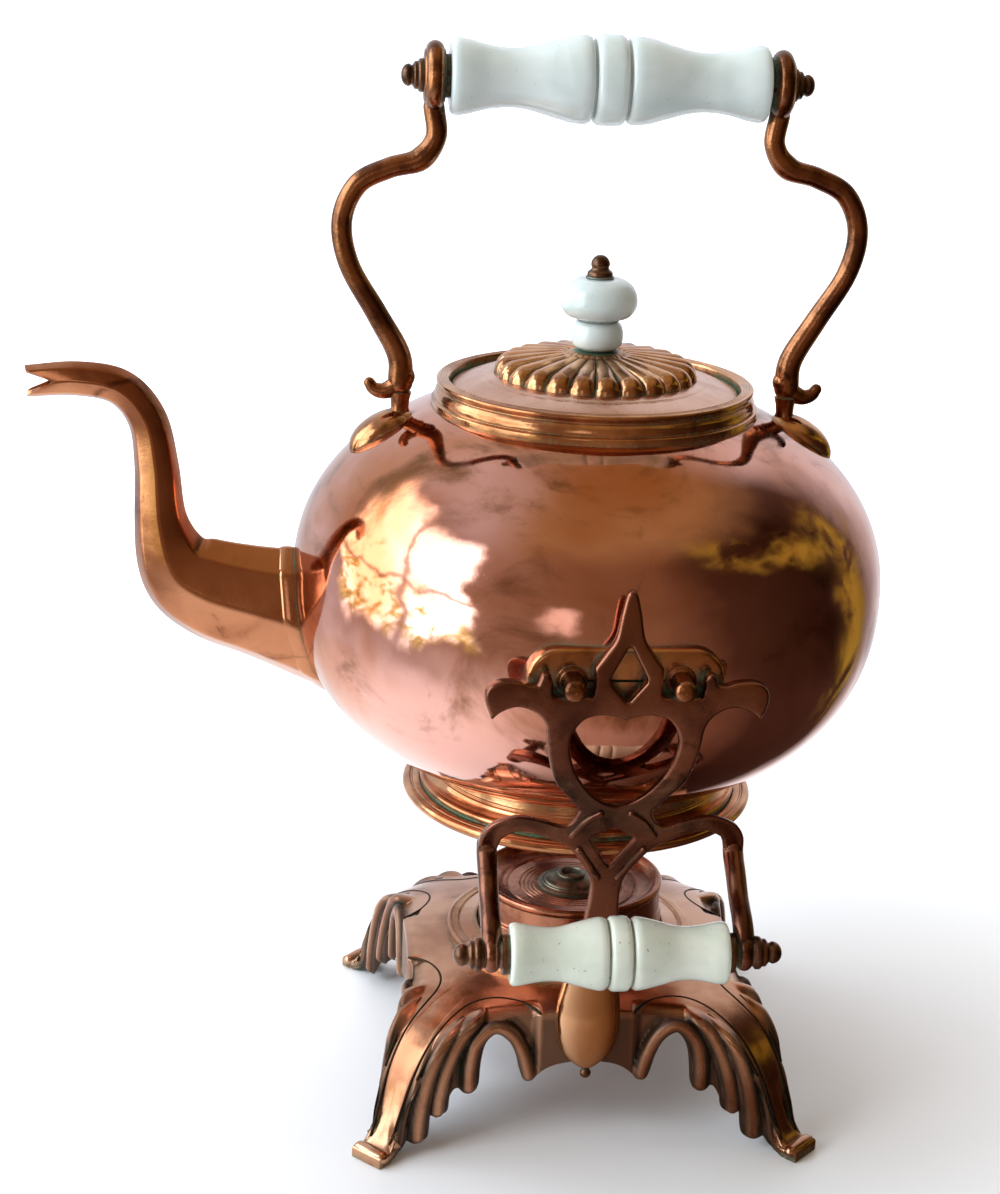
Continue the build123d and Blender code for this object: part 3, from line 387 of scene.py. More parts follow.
def metal_group():
    """Aged metal: two polished tones in broad clouds, darker tarnish in torn patches, fine specks,
    painted shade and soiling with verdigris where the surface folds in, edges rubbed bright with a
    painted highlight, painted shade where the piece's groove attribute asks for it, shallow dents
    and the slow swell of hammered sheet."""
    tree, n, given = new_group("Aged metal", [
        ("Lit", (1, 1, 1, 1)), ("Mid", (1, 1, 1, 1)), ("Dark", (0, 0, 0, 1)), ("Green", (0, 0, 0, 1)),
        ("Groove shade", (0.020, 0.011, 0.007, 1)), ("Size", 20.0), ("Tarnish", 0.5), ("Roughness", 0.2),
        ("Dents", 0.1), ("Dirt and shade", 0.5), ("Reach", 0.003), ("Waves", 0.15)],
        [("Color", "NodeSocketColor"), ("Roughness", "NodeSocketFloat"), ("Normal", "NodeSocketVector"),
         ("Dirt and shade", "NodeSocketFloat")])
    coords = n.add("ShaderNodeTexCoord").outputs["Object"]
    broad = n.noise(coords, given["Size"], 4.0, 0.55, 0.6)
    torn = n.noise(coords, n.math("MULTIPLY", given["Size"], 2.6), 6.0, 0.62, 1.2)
    fine = n.noise(coords, 900.0, 3.0, 0.6)
    grain = n.noise(coords, n.math("MULTIPLY", given["Size"], 9.0), 4.0, 0.6)
    base = n.mix(n.step(broad, 0.40, 0.64), given["Lit"], given["Mid"])
    edge = n.math("SUBTRACT", 0.78, n.math("MULTIPLY", given["Tarnish"], 0.36))
    patch = n.step(n.math("ADD", n.math("MULTIPLY", torn, 0.75), n.math("MULTIPLY", broad, 0.30)),
                   edge, n.math("ADD", edge, 0.17))
    base = n.mix(n.math("MULTIPLY", patch, 0.85), base, given["Dark"])
    specks = n.step(fine, 0.70, 0.76)
    base = n.mix(n.math("MULTIPLY", specks, 0.55), base, given["Dark"])
    # painted shade and soiling: darker towards Dark where the surface folds in and shuts out light;
    # verdigris goes into the same hollows
    shut = n.add("ShaderNodeAmbientOcclusion", [("Distance", given["Reach"])], samples=6, only_local=False)
    crevice = n.math("SUBTRACT", 1.0, shut.outputs["AO"])
    ragged = n.math("ADD", crevice, n.math("MULTIPLY", n.math("SUBTRACT", grain, 0.5), 0.5))
    dirt_and_shade = n.math("MULTIPLY", n.step(ragged, 0.20, 0.75), given["Dirt and shade"])
    verdigris = n.math("MULTIPLY", dirt_and_shade, n.step(torn, 0.40, 0.52))
    base = n.mix(dirt_and_shade, base, given["Dark"])
    base = n.mix(n.math("MULTIPLY", verdigris, 0.8), base, given["Green"])
    # edges and crests lighter towards Lit: rubbed bright, and a painted highlight along them
    sharp = n.add("ShaderNodeNewGeometry").outputs["Pointiness"]
    worn_and_highlight = n.math("MULTIPLY", n.step(sharp, 0.515, 0.60), n.step(grain, 0.30, 0.62))
    base = n.mix(n.math("MULTIPLY", worn_and_highlight, 0.75), base, given["Lit"])
    # painted shade where the piece's groove attribute asks for it: on the base, between the gadroons and on
    # the plain skirt behind each leaf
    painted = n.add("ShaderNodeAttribute", attribute_name="groove").outputs["Fac"]
    base = n.mix(n.math("MULTIPLY", painted, 0.94), base, given["Groove shade"])
    dirt_and_shade = n.math("MAXIMUM", dirt_and_shade, n.math("MULTIPLY", painted, 0.55))
    rough = n.math("ADD", given["Roughness"], n.math("MULTIPLY", patch, 0.10))
    rough = n.math("ADD", rough, n.math("MULTIPLY", n.math("SUBTRACT", grain, 0.5), 0.16))
    rough = n.math("MAXIMUM", n.math("ADD", rough, n.math("MULTIPLY", dirt_and_shade, 0.45)), 0.03)
    height = n.math("ADD", n.math("MULTIPLY", grain, 0.6), n.math("MULTIPLY", specks, -0.3))
    bump = n.add("ShaderNodeBump", [("Strength", given["Dents"]), ("Distance", 0.0006), ("Height", height)])
    swell = n.noise(coords, 26.0, 2.0, 0.45)
    wave = n.add("ShaderNodeBump", [("Strength", given["Waves"]), ("Distance", 0.0012), ("Height", swell),
                                    ("Normal", bump.outputs[0])])
    n.add("NodeGroupOutput", [("Color", base), ("Roughness", rough), ("Normal", wave.outputs[0]),
                              ("Dirt and shade", dirt_and_shade)])
    return tree


def opal_group():
    """Opaline glass: a milky body with slow swirls, tiny dark specks, and painted shade with soiling that
    darkens the grooves.
    """
    tree, n, given = new_group("Opal glass", [
        ("Milk", (1, 1, 1, 1)), ("Shade", (1, 1, 1, 1)), ("Grime and shade", (0, 0, 0, 1)), ("Specks", 0.5)],
        [("Color", "NodeSocketColor"), ("Roughness", "NodeSocketFloat")])
    coords = n.add("ShaderNodeTexCoord").outputs["Object"]
    swirl = n.noise(coords, 34.0, 3.0, 0.5, 1.6)
    fine = n.noise(coords, 700.0, 2.0, 0.5)
    base = n.mix(n.step(swirl, 0.35, 0.70), given["Milk"], given["Shade"])
    base = n.mix(n.math("MULTIPLY", n.step(fine, 0.70, 0.74), given["Specks"]), base, given["Grime and shade"])
    # painted shade with soiling: darker where the glass's grooves shut out light
    shut = n.add("ShaderNodeAmbientOcclusion", [("Distance", 0.002)], samples=6)
    dirt_and_shade = n.step(n.math("SUBTRACT", 1.0, shut.outputs["AO"]), 0.34, 0.74)
    base = n.mix(n.math("MULTIPLY", dirt_and_shade, 0.9), base, given["Grime and shade"])
    rough = n.math("ADD", 0.13, n.math("MULTIPLY", dirt_and_shade, 0.5))
    n.add("NodeGroupOutput", [("Color", base), ("Roughness", rough)])
    return tree


METAL = metal_group()
OPAL = opal_group()


def srgb(red, green, blue):
    """A screen colour as the linear colour the sockets take."""
    c = np.array([red, green, blue]) / 255
    c = np.where(c <= 0.04045, c / 12.92, ((c + 0.055) / 1.055) ** 2.4)
    return (*c.tolist(), 1.0)


VERDIGRIS = srgb(96, 142, 116)


def metal(name, lit, mid, dark, size=20.0, tarnish=0.5, rough=0.2, dents=0.1, dirt_and_shade=0.7,
          reach=0.003, waves=0.15):
    """A metal material from the shared group; its painted shade and soiling are never as metallic as the
    metal under them.
    """
    material = bpy.data.materials.new(name)
    material.use_nodes = True
    n = Nodes(material.node_tree)
    bsdf = material.node_tree.nodes["Principled BSDF"]
    aged = n.add("ShaderNodeGroup", node_tree=METAL)
    for label, value in (("Lit", lit), ("Mid", mid), ("Dark", dark), ("Green", VERDIGRIS), ("Size", size),
                         ("Tarnish", tarnish), ("Roughness", rough), ("Dents", dents), ("Dirt and shade", dirt_and_shade),
                         ("Reach", reach), ("Waves", waves)):
        aged.inputs[label].default_value = value
    for label, socket in (("Color", "Base Color"), ("Roughness", "Roughness"), ("Normal", "Normal")):
        n.tree.links.new(aged.outputs[label], bsdf.inputs[socket])
    metallic = n.math("SUBTRACT", 1.0, n.math("MULTIPLY", aged.outputs["Dirt and shade"], 0.75))
    n.tree.links.new(metallic, bsdf.inputs["Metallic"])
    return material


def opal(name, milk, shade, grime_and_shade, specks):
    """A glass material from the shared group."""
    material = bpy.data.materials.new(name)
    material.use_nodes = True
    n = Nodes(material.node_tree)
    bsdf = material.node_tree.nodes["Principled BSDF"]
    glass = n.add("ShaderNodeGroup", node_tree=OPAL)
    for label, value in (("Milk", milk), ("Shade", shade), ("Grime and shade", grime_and_shade), ("Specks", specks)):
        glass.inputs[label].default_value = value
    for label, socket in (("Color", "Base Color"), ("Roughness", "Roughness")):
        n.tree.links.new(glass.outputs[label], bsdf.inputs[socket])
    for label, value in (("Subsurface Weight", 0.45), ("Subsurface Scale", 0.004), ("Coat Weight", 0.5),
                         ("Coat Roughness", 0.05), ("IOR", 1.5)):
        bsdf.inputs[label].default_value = value
    bsdf.inputs["Subsurface Radius"].default_value = (1.0, 1.0, 0.9)
    return material


COPPER = metal("Polished copper", srgb(234, 178, 164), srgb(194, 122, 84), srgb(112, 66, 24), size=8.5,
               tarnish=0.70, rough=0.065, dents=0.10, dirt_and_shade=1.0, reach=0.005, waves=0.45)
SPOUT_COPPER = metal("Spout copper", srgb(196, 134, 98), srgb(150, 90, 62), srgb(76, 40, 27), size=22.0,
                     tarnish=0.62, rough=0.16, dents=0.2)
GILT = metal("Gilt copper", srgb(214, 158, 114), srgb(166, 110, 74), srgb(70, 40, 26), size=34.0,
             tarnish=0.54, rough=0.15, dents=0.2, dirt_and_shade=1.0, reach=0.005)
LID = metal("Lid copper", srgb(226, 182, 158), srgb(200, 148, 120), srgb(110, 66, 42), size=24.0,
            tarnish=0.40, rough=0.26, dents=0.2, dirt_and_shade=1.0, reach=0.003)
ARM_BRONZE = metal("Arm bronze", srgb(160, 106, 72), srgb(108, 68, 47), srgb(54, 32, 22), size=60.0,
                   tarnish=0.66, rough=0.22, dents=0.35, dirt_and_shade=0.9)
CASTING = metal("Casting bronze", srgb(140, 92, 72), srgb(96, 60, 48), srgb(50, 31, 25), size=26.0,
                tarnish=0.66, rough=0.25, dents=0.3, dirt_and_shade=0.9)
BASE = metal("Base copper", srgb(206, 156, 124), srgb(166, 112, 82), srgb(74, 44, 28), size=22.0,
             tarnish=0.52, rough=0.19, dents=0.2, dirt_and_shade=1.0, reach=0.008)
LEAF = metal("Leaf copper", srgb(236, 188, 146), srgb(206, 146, 92), srgb(92, 50, 28), size=14.0,
             tarnish=0.40, rough=0.10, dents=0.15)
LAMP = metal("Lamp copper", srgb(178, 120, 94), srgb(132, 82, 62), srgb(62, 38, 30), size=40.0,
             tarnish=0.60, rough=0.22, dents=0.25)
BURNER = metal("Burner metal", srgb(138, 130, 112), srgb(104, 96, 82), srgb(44, 40, 34), size=60.0,
               tarnish=0.6, rough=0.38, dents=0.4)
NUT = metal("Nut bronze", srgb(116, 84, 64), srgb(74, 52, 42), srgb(34, 24, 20), size=90.0,
            tarnish=0.6, rough=0.30, dents=0.3)
STEEL = metal("Grey washer", srgb(150, 150, 146), srgb(112, 112, 108), srgb(60, 58, 52), size=90.0,
              tarnish=0.5, rough=0.36, dents=0.2)
# dark wires for the incised lines: a painted shade where the real base has cut grooves
INCISED_SHADE = metal("Incised line", srgb(64, 42, 30), srgb(46, 30, 22), srgb(24, 16, 12), size=60.0,
             tarnish=0.5, rough=0.5, dents=0.2)
TOP_GLASS = opal("Celadon opal", srgb(208, 219, 219), srgb(194, 208, 208), srgb(44, 38, 26), 0.25)
LOW_GLASS = opal("Cream opal", srgb(216, 222, 212), srgb(200, 209, 197), srgb(52, 44, 30), 0.6)


def cotton():
    """Woven wick: fine slanting bands times a dull fibre noise."""
    material = bpy.data.materials.new("Wick cotton")
    material.use_nodes = True
    n = Nodes(material.node_tree)
    coords = n.add("ShaderNodeTexCoord").outputs["Object"]
    braid = n.add("ShaderNodeTexWave", [("Vector", coords), ("Scale", 420.0), ("Distortion", 2.0)],
                  bands_direction="DIAGONAL").outputs["Fac"]
    fibre = n.noise(coords, 1400.0, 3.0, 0.6)
    bsdf = material.node_tree.nodes["Principled BSDF"]
    tone = n.mix(n.math("MULTIPLY", braid, fibre), srgb(112, 98, 78), srgb(206, 196, 170))
    n.tree.links.new(tone, bsdf.inputs["Base Color"])
    bsdf.inputs["Roughness"].default_value = 0.95
    return material


WICK = cotton()


# ---- kettle --------------------------------------------------------------------------------

def superellipse(share):
    """Ordinate of the belly's unit superellipse at an abscissa: 1 at 0 and 0 at 1 and beyond."""
    return (1 - np.clip(share, 0, 1) ** BELLY_POWER) ** (1 / BELLY_POWER)


def belly_at(z):
    """Radius of the belly at a height: a superellipse of revolution, flatter above than below."""
    return BELLY_R * superellipse(np.abs(z - BELLY_Z) / np.where(z > BELLY_Z, BELLY_UP, BELLY_DOWN))


def belly_top(r):
    """Height of the belly's upper face at a radius."""
    return BELLY_Z + BELLY_UP * superellipse(r / BELLY_R)


def belly_under(r):
    """Height of the belly's lower face at a radius."""
    return BELLY_Z - BELLY_DOWN * superellipse(r / BELLY_R)


def belly_surface():
    """The raised belly: its superellipse profile turned about Z, hollow, with planishing marks,
    a sum of slow waves that only ever moves the copper inwards, by less than a tenth."""
    t = np.linspace(0, np.pi / 2, 70)
    wide, tall = BELLY_R * np.cos(t) ** (2 / BELLY_POWER), np.sin(t) ** (2 / BELLY_POWER)
    low = np.stack([wide, BELLY_Z - BELLY_DOWN * tall], 1)[::-1]
    high = np.stack([wide, BELLY_Z + BELLY_UP * tall], 1)
    outer = np.vstack([low, high[1:]])
    outer = outer[~((outer[:, 0] < NECK_R) & (outer[:, 1] > BELLY_Z))]
    outer = np.vstack([outer, [[NECK_R, belly_top(NECK_R)]]])
    inner = outer[::-1] * (1 - BELLY_WALL / BELLY_R) + [0, BELLY_Z * BELLY_WALL / BELLY_R]

    def planish(angle, r, z):
        """Three crossing waves, always inwards and dying away towards the axis."""
        wave = (np.sin(5 * angle + 0.06 * z) + np.sin(9 * angle - 0.09 * z + 1.3)
                + np.sin(0.21 * z + 3 * angle)) / 3
        return -0.045 * (1 + wave) * np.clip(r / 40, 0, 1)

    return turned(np.vstack([outer, inner]), 256, planish)


def lifted(outline, z):
    """A profile whose heights are measured from z."""
    return [(r, z + h) for r, h in outline]


def bead(radius, z, size, count=9, start=-90.0, end=90.0):
    """Points round an arc that bulges outwards, for a profile."""
    a = np.radians(np.linspace(start, end, count))
    return [(radius + size * np.cos(t), z + size * np.sin(t)) for t in a]


def foot_surface():
    """Spun foot: half-round rim, sunk ledge, torus and an ogee up to the belly, turned about Z."""
    top = float(belly_under(52.0)) + 1.5
    line = [(FOOT_R - 3.0, FOOT_Z + 0.1)] + bead(FOOT_R - 1.95, FOOT_Z + 1.95, 1.95, 11)
    line += [(FOOT_R - 2.6, FOOT_Z + 3.7), (FOOT_R - 2.8, FOOT_Z + 3.1), (FOOT_R - 3.4, FOOT_Z + 3.1),
             (FOOT_R - 3.7, FOOT_Z + 3.6), (FOOT_R - 6.2, FOOT_Z + 3.7), (FOOT_R - 6.4, FOOT_Z + 3.4)]
    line += bead(FOOT_R - 7.4, FOOT_Z + 5.0, 1.3, 7, -70, 80)
    line += [(FOOT_R - 8.0, FOOT_Z + 6.2), (FOOT_R - 9.2, FOOT_Z + 6.9), (FOOT_R - 10.4, FOOT_Z + 8.0),
             (53.4, FOOT_Z + 9.0), (52.6, FOOT_Z + 9.4), (52.9, FOOT_Z + 10.0), (52.2, FOOT_Z + 10.4)]
    line += [(52.0, top), (50.0, top), (50.0, FOOT_Z + 7.2), (FOOT_R - 8.6, FOOT_Z + 5.2),
             (FOOT_R - 7.0, FOOT_Z + 1.6)]
    return turned(soften(line, 0.25, 2), 192)


def collar_surface():
    """Neck collar: flat top with three incised lines, a rolled edge, a hollow, and a polished
    band, turned about Z."""
    wide, top = NECK_R + COLLAR_WALL, COLLAR_TOP
    low = float(belly_top(wide))
    line = [(NECK_R - 2.4, low - 1.5), (NECK_R - 2.4, top - 4.5), (NECK_R - 0.2, top - 4.4),
            (NECK_R, top - 4.0), (NECK_R, top - 0.8), (NECK_R + 0.8, top)]
    for r in (52.3, 53.2, 54.1):
        line += [(r - 0.18, top), (r, top - 0.3), (r + 0.18, top)]
    line += [(wide - 2.9, top)] + bead(wide - 2.6, top - 1.0, 0.9, 7, 80, -70)
    line += [(wide - 2.7, top - 2.3), (wide - 2.9, top - 2.9), (wide - 2.3, top - 3.3),
             (wide - 1.5, top - 4.4), (wide - 1.1, top - 5.8), (wide - 1.1, top - 6.7),
             (wide - 1.35, top - 6.95), (wide - 1.0, top - 7.2)]
    line += [(wide - 0.1, top - 7.5), (wide, top - 7.9), (wide, low - 1.2)]
    return turned(soften(line, 0.15, 2), 192)


SPOUT = np.array([
    # out from the belly, up from its equator, half height, half width, lean
    (-24.0, -19.5, 28.0, 19.1, -8), (-8.3, -15.5, 25.0, 17.5, -8), (12.7, -10.2, 21.0, 15.5, -8),
    (30.7, -5.0, 18.6, 13.6, -14), (41.5, 3.0, 14.6, 11.8, -44), (46.3, 20.0, 9.6, 9.6, -84),
    (47.7, 40.0, 7.9, 8.2, -87), (50.9, 56.5, 7.0, 7.2, -66), (59.9, 67.2, 6.6, 6.4, -30),
    (74.7, 70.1, 6.2, 5.4, -4), (92.0, 69.0, 5.7, 4.4, 3)])
SPOUT_RINGS = 150
ROOT_RINGS = 45  # those of them that lie near the belly
BAND_LINES = 14


def spout_rings(rows, grow=0.0, notch=9.6):
    """Points of the spout: an eight-sided ring with a ridge along each side stands across the
    middle line at every station; near the tip the rings bend back into the beak's V."""
    quarter = np.array([(1, 0), (0.70, 0.72), (0, 1), (-0.70, 0.72)])
    ring = soften(np.vstack([quarter, -quarter]), 0.055, 3)
    a, b = rows[:, 2] + grow, rows[:, 3] + grow
    lean = np.radians(rows[:, 4])
    up = np.stack([-np.sin(lean), 0 * lean, np.cos(lean)], 1)
    ahead = np.stack([-np.cos(lean), 0 * lean, -np.sin(lean)], 1)
    middle = np.stack([-BELLY_R - rows[:, 0], 0 * rows[:, 0], BELLY_Z + rows[:, 1]], 1)
    points = (middle[:, None] + np.array([0, 1.0, 0]) * (b[:, None] * ring[:, 0])[..., None]
              + up[:, None] * (a[:, None] * ring[:, 1])[..., None])
    near = np.clip((rows[:, 0] - 72) / 20, 0, 1)
    cut = notch * np.clip(1 - np.abs(ring[:, 1]) / 0.8, 0, 1)
    return points - ahead[:, None] * (near[:, None] ** 1.5 * cut)[..., None]


def belly_gap(points):
    """How far points stand clear of the belly, measured out from the kettle's axis."""
    return np.hypot(points[..., 0], points[..., 1]) - belly_at(points[..., 2])


def met(rings, clear):
    """The line along which rings, followed column by column, come clear of the belly by a
    distance: linear steps between the two rings on either side of it."""
    gap = belly_gap(rings)
    column = np.arange(rings.shape[1])
    after = np.maximum((gap > clear).argmax(0), 1)
    low, high = gap[after - 1, column], gap[after, column]
    share = ((clear - low) / (high - low))[:, None]
    return rings[after - 1, column] * (1 - share) + rings[after, column] * share


def spout_surface():
    """Swan-neck spout: the outer rings from the belly's skin to the tip, the lip, and the bore's
    rings back down the tube."""
    rows = spline(SPOUT, SPOUT_RINGS)
    skins = []
    for grow in (0.0, -SPOUT_WALL):
        rings = spout_rings(rows, grow)
        skins.append(np.where(belly_gap(rings)[..., None] < -BURIED, met(rings, -BURIED), rings))
    points = np.concatenate([skins[0], skins[1][::-1]])
    return points.reshape(-1, 3), quads_of(len(points), points.shape[1], True, True)


def spout_collar_surface():
    """Soldered band round the spout's root: lines at growing distances from the belly on rings
    grown by a rounded hump, closed inside the spout's wall."""
    rows = spline(SPOUT, SPOUT_RINGS)[:ROOT_RINGS]
    clear = np.linspace(-0.6, 5.4, BAND_LINES)
    hump = 1.15 * np.sin(np.linspace(0.25, np.pi, BAND_LINES)) ** 0.4 - 0.3
    lines = [met(spout_rings(rows, h, 0), c) for h, c in zip(hump, clear)]
    lines += [met(spout_rings(rows, -0.6, 0), c) for c in clear[::-1]]
    points = np.stack(lines)
    return points.reshape(-1, 3), quads_of(len(points), points.shape[1], True, True)


def saddle_surface():
    """Half-teardrop dome: a polar grid laid on the shoulder, its edge lobed at the lower end, its
    height a flattened quarter ellipse of the share of the way to the edge."""
    angle = np.linspace(0, TAU, 96, endpoint=False)
    share = np.sin(np.linspace(0, np.pi / 2, 24))[:, None]
    lobes = 0.9 * np.abs(np.sin(2.5 * angle)) * np.clip(np.cos(angle), 0, 1)
    reach = np.where(np.cos(angle) > 0, 13.0, 13.6) + lobes
    out = SADDLE_X + share * reach * np.cos(angle) * np.cos(np.radians(36))
    side = share * (9.6 + 0.3 * np.cos(angle)) * np.sin(angle)
    r = np.sqrt(out ** 2 + side ** 2)
    lift = 5.9 * (1 - share ** 2.4) ** 0.55 - 0.5
    slope = np.radians(40)
    x = out + lift * np.sin(slope)
    z = belly_top(r) + lift * np.cos(slope)
    top = np.stack([x, side, z], -1)
    foot = top[-1:] - [0, 0, 1.5]
    points = np.concatenate([top, foot])
    points[0] = points[0].mean(0)
    return points.reshape(-1, 3), quads_of(len(points), len(angle), False, True)


ARM = np.array([(ARM_X, 357.5), (58.2, 347.5), (63.5, 339.8), (74.0, 336.6), (84.5, 330.8), (89.6, 318.5),
                (86.9, 303.5), (77.2, 286.8), (69.3, 272.6), (ARM_FOOT_X, 262.5)])


def arm_surfaces():
    """S-shaped cast arm: a bar with a channel along each side swept down the curve with a knuckle
    below the eye, an eye turned like a fat ring, a curled toe and a waisted neck."""
    line = spline(ARM, 140)
    path = np.column_stack([line[:, 0], np.zeros(len(line)), line[:, 1]])
    along = np.linspace(0, 1, len(line))
    knuckle = 0.5 * np.exp(-((along - 0.16) / 0.035) ** 2)
    size = 3.62 + knuckle + 0.75 * np.clip((along - 0.62) / 0.36, 0, 1) ** 1.5
    a = np.linspace(0, TAU, 40, endpoint=False)
    channel = 1 - 0.26 * np.exp(-(np.sin(a) / 0.26) ** 2)
    section = np.stack([channel * np.sin(a), np.cos(a)], 1)
    bar = swept(path, size, section=section)
    disc = [(2.65, -3.7), (7.4, -3.7), (8.0, -3.2), (8.6, -3.5)]
    disc += bead(8.6, 0, 3.1, 13, -84, 84) + [(8.6, 3.5), (8.0, 3.2), (7.4, 3.7), (2.65, 3.7)]
    eye = along_x(turned(disc, 96), (ARM_X, 0, GRIP_Z))
    waist = [(0.01, 0), (4.4, 0), (3.9, 1.4), (3.1, 3.8), (3.3, 6.6), (4.0, 9.4), (0.01, 10.2)]
    neck = moved(turned(waist, 32), (ARM_FOOT_X, 0, float(belly_top(ARM_FOOT_X)) + 0.1))
    toe = spline([(67.4, 264.6), (70.6, 261.0), (74.4, 259.4), (77.6, 260.2), (79.2, 262.2)], 34)
    toe = np.column_stack([toe[:, 0], np.zeros(len(toe)), toe[:, 1]])
    return [bar, eye, neck, swept(toe, np.linspace(4.1, 2.0, len(toe)))]


def grip_surface(half, end_r, waist_r, mid_r, bore):
    """Opal grip turned about X: bell-flared ends with a rounded rim, a hollow waist near each end,
    a swelling towards the middle, and a centre ring between two deep rounded grooves."""
    swell = mid_r - waist_r
    flare = end_r - waist_r
    right = [(0.0, mid_r), (0.045 * half, mid_r), (0.075 * half, 0.985 * mid_r),
             (0.094 * half, 0.93 * mid_r), (0.102 * half, 0.865 * mid_r), (0.112 * half, 0.865 * mid_r),
             (0.122 * half, 0.93 * mid_r), (0.15 * half, 0.975 * mid_r), (0.19 * half, 0.972 * mid_r)]
    bell = spline([(0.19 * half, 0.972 * mid_r), (0.27 * half, 0.925 * mid_r),
                   (0.40 * half, waist_r + 0.40 * swell), (0.52 * half, waist_r + 0.09 * swell),
                   (0.63 * half, waist_r), (0.76 * half, waist_r + 0.24 * flare),
                   (0.88 * half, waist_r + 0.80 * flare), (0.945 * half, end_r)], 44)
    rim = [(0.968 * half, 0.995 * end_r), (0.987 * half, 0.965 * end_r), (0.998 * half, 0.90 * end_r),
           (half, 0.82 * end_r), (half, bore)]
    right = np.vstack([right, bell[1:], rim])
    line = np.vstack([right[:0:-1] * [-1, 1], right])
    return along_x(turned(line[:, ::-1], 128))


def nut_surface(seat, radius, length):
    """Pair of stepped finial nuts turned about X: base disc, hollow, collar, and a domed button."""
    stem = 0.60 * radius
    steps = [(radius - 0.15, 0), (radius, 0.03), (radius, 0.15), (radius - 0.2, 0.20), (0.84 * radius, 0.25),
             (0.84 * radius, 0.38), (0.76 * radius, 0.43), (stem, 0.50), (0.98 * stem, 0.55),
             (1.10 * stem, 0.62), (1.11 * stem, 0.70), (1.02 * stem, 0.80), (0.84 * stem, 0.89),
             (0.58 * stem, 0.955), (0.28 * stem, 0.99), (0.01, 0.995)]
    line = [(0.3, seat)] + [(r, seat + share * length) for r, share in steps] + [(0.01, seat + 0.1)]
    return mirrored(along_x(turned(line, 64)), 0)


def washer_surface(inner, outer, radius, bore):
    """Pair of washers with rounded rims, turned about X."""
    c = 0.32 * min(outer - inner, 1.2)
    line = [(bore, inner), (radius - c, inner), (radius - 0.3 * c, inner + 0.3 * c), (radius, inner + c),
            (radius, outer - c), (radius - 0.3 * c, outer - 0.3 * c), (radius - c, outer), (bore, outer)]
    return mirrored(along_x(turned(line, 64)), 0)


def pad_surface():
    """Oval boss on the belly: stadium rings step from the belly's face up to a flat top with a
    rounded shoulder."""
    a = np.linspace(0, TAU, 160, endpoint=False)
    ends = np.sign(np.cos(a)) * (PAD_HALF - PAD_R)
    rings = []
    for grow, out in ((0.0, -9.0), (0.0, -1.8), (-0.15, -1.1), (-0.5, -0.5), (-1.1, -0.12), (-1.8, 0.0),
                      (-6.0, 0.0), (-10.0, 0.0)):
        r = PAD_R - 0.05 + grow
        rings.append(np.stack([ends + r * np.cos(a), np.full(len(a), -(PAD_Y + out)),
                               PEG_Z + r * np.sin(a)], 1))
    rings = np.stack(rings)
    skirt = rings[0]
    skirt[:, 1] = -np.sqrt(np.maximum(belly_at(skirt[:, 2]) ** 2 - skirt[:, 0] ** 2, 0)) + 1.0
    return rings.reshape(-1, 3), quads_of(len(rings), len(a), False, True)


def peg_surface():
    """Peg with a stepped base ring, a slightly waisted barrel and a domed tip, turned about Y."""
    tip = PEG_Y - PAD_Y
    line = [(0.01, -0.4), (5.1, -0.4), (5.15, 0.35), (4.9, 0.65), (4.2, 0.75), (3.75, 1.1), (3.6, 1.8),
            (3.5, 0.5 * tip), (3.6, tip - 2.4), (3.5, tip - 1.7), (3.1, tip - 0.9), (2.3, tip - 0.35),
            (1.2, tip - 0.08), (0.01, tip - 0.02)]
    return along_y(turned(soften(line, 0.2, 1), 64))


# ---- lid -----------------------------------------------------------------------------------

def lid_surface():
    """Domed lid with a soft raised edge and a shallow ring outside the rosette, turned about Z."""
    line = [(0.01, 268.6), (36.0, 266.4), (38.4, 265.9), (39.4, 265.6), (39.8, 265.25), (40.3, 265.3),
            (41.5, 265.0), (45.5, 263.7), (48.6, 262.4), (49.6, 262.0), (50.2, 261.7), (50.35, 261.2),
            (50.1, 260.4), (48.0, 260.35), (48.0, 250.4), (46.8, 250.4), (46.8, LID_EDGE_Z - 1.0),
            (36.0, 264.4), (0.01, 266.4)]
    return turned(soften(line, 0.2, 1), 192)


def rosette_surface():
    """Pressed rosette: a polar grid whose radius is scalloped by 24 round lobes and whose height is
    a dome cut by grooves that follow nearly the square root of the cosine of the flute angle,
    with a shallow ring round its boss."""
    angle = np.linspace(0, TAU, 24 * 24, endpoint=False)
    flute = np.abs(np.cos(12 * angle))
    s = np.concatenate([np.linspace(0.05, 0.28, 10), np.linspace(0.30, 0.90, 40),
                        np.linspace(0.91, 1.0, 16)])[:, None]
    lobed = 35.6 - 2.2 * (1 - flute ** 0.55)
    r = s * (lobed * (1 - 0.02 * s) + 0.9 * s)
    body = 1 - np.clip((s - 0.86) / 0.14, 0, 1) ** 2.2
    dome = 8.7 * (1 - 0.30 * s ** 1.3 - 0.12 * s ** 4)
    dome = np.where(s > 0.86, dome * body ** 0.5, dome)
    fade = np.clip((s - 0.24) / 0.22, 0, 1)
    swell = 0.75 + 0.75 * np.exp(-((s - 0.86) / 0.14) ** 2)
    ridge = -2.1 * swell * fade * (1 - flute ** 0.45) * np.where(s > 0.97, (1 - s) / 0.03, 1)
    boss = -0.7 * np.exp(-((s - 0.30) / 0.03) ** 2)
    z = ROSETTE_Z - 0.4 + np.maximum(dome + ridge + boss, 0.0)
    z = np.minimum(z, KNOB_Z - 0.02)
    points = np.stack([r * np.cos(angle), r * np.sin(angle), z + 0 * angle], -1)
    points = np.concatenate([points[:1] * [0, 0, 1], points])
    return points.reshape(-1, 3), quads_of(len(points), len(angle), False, True)


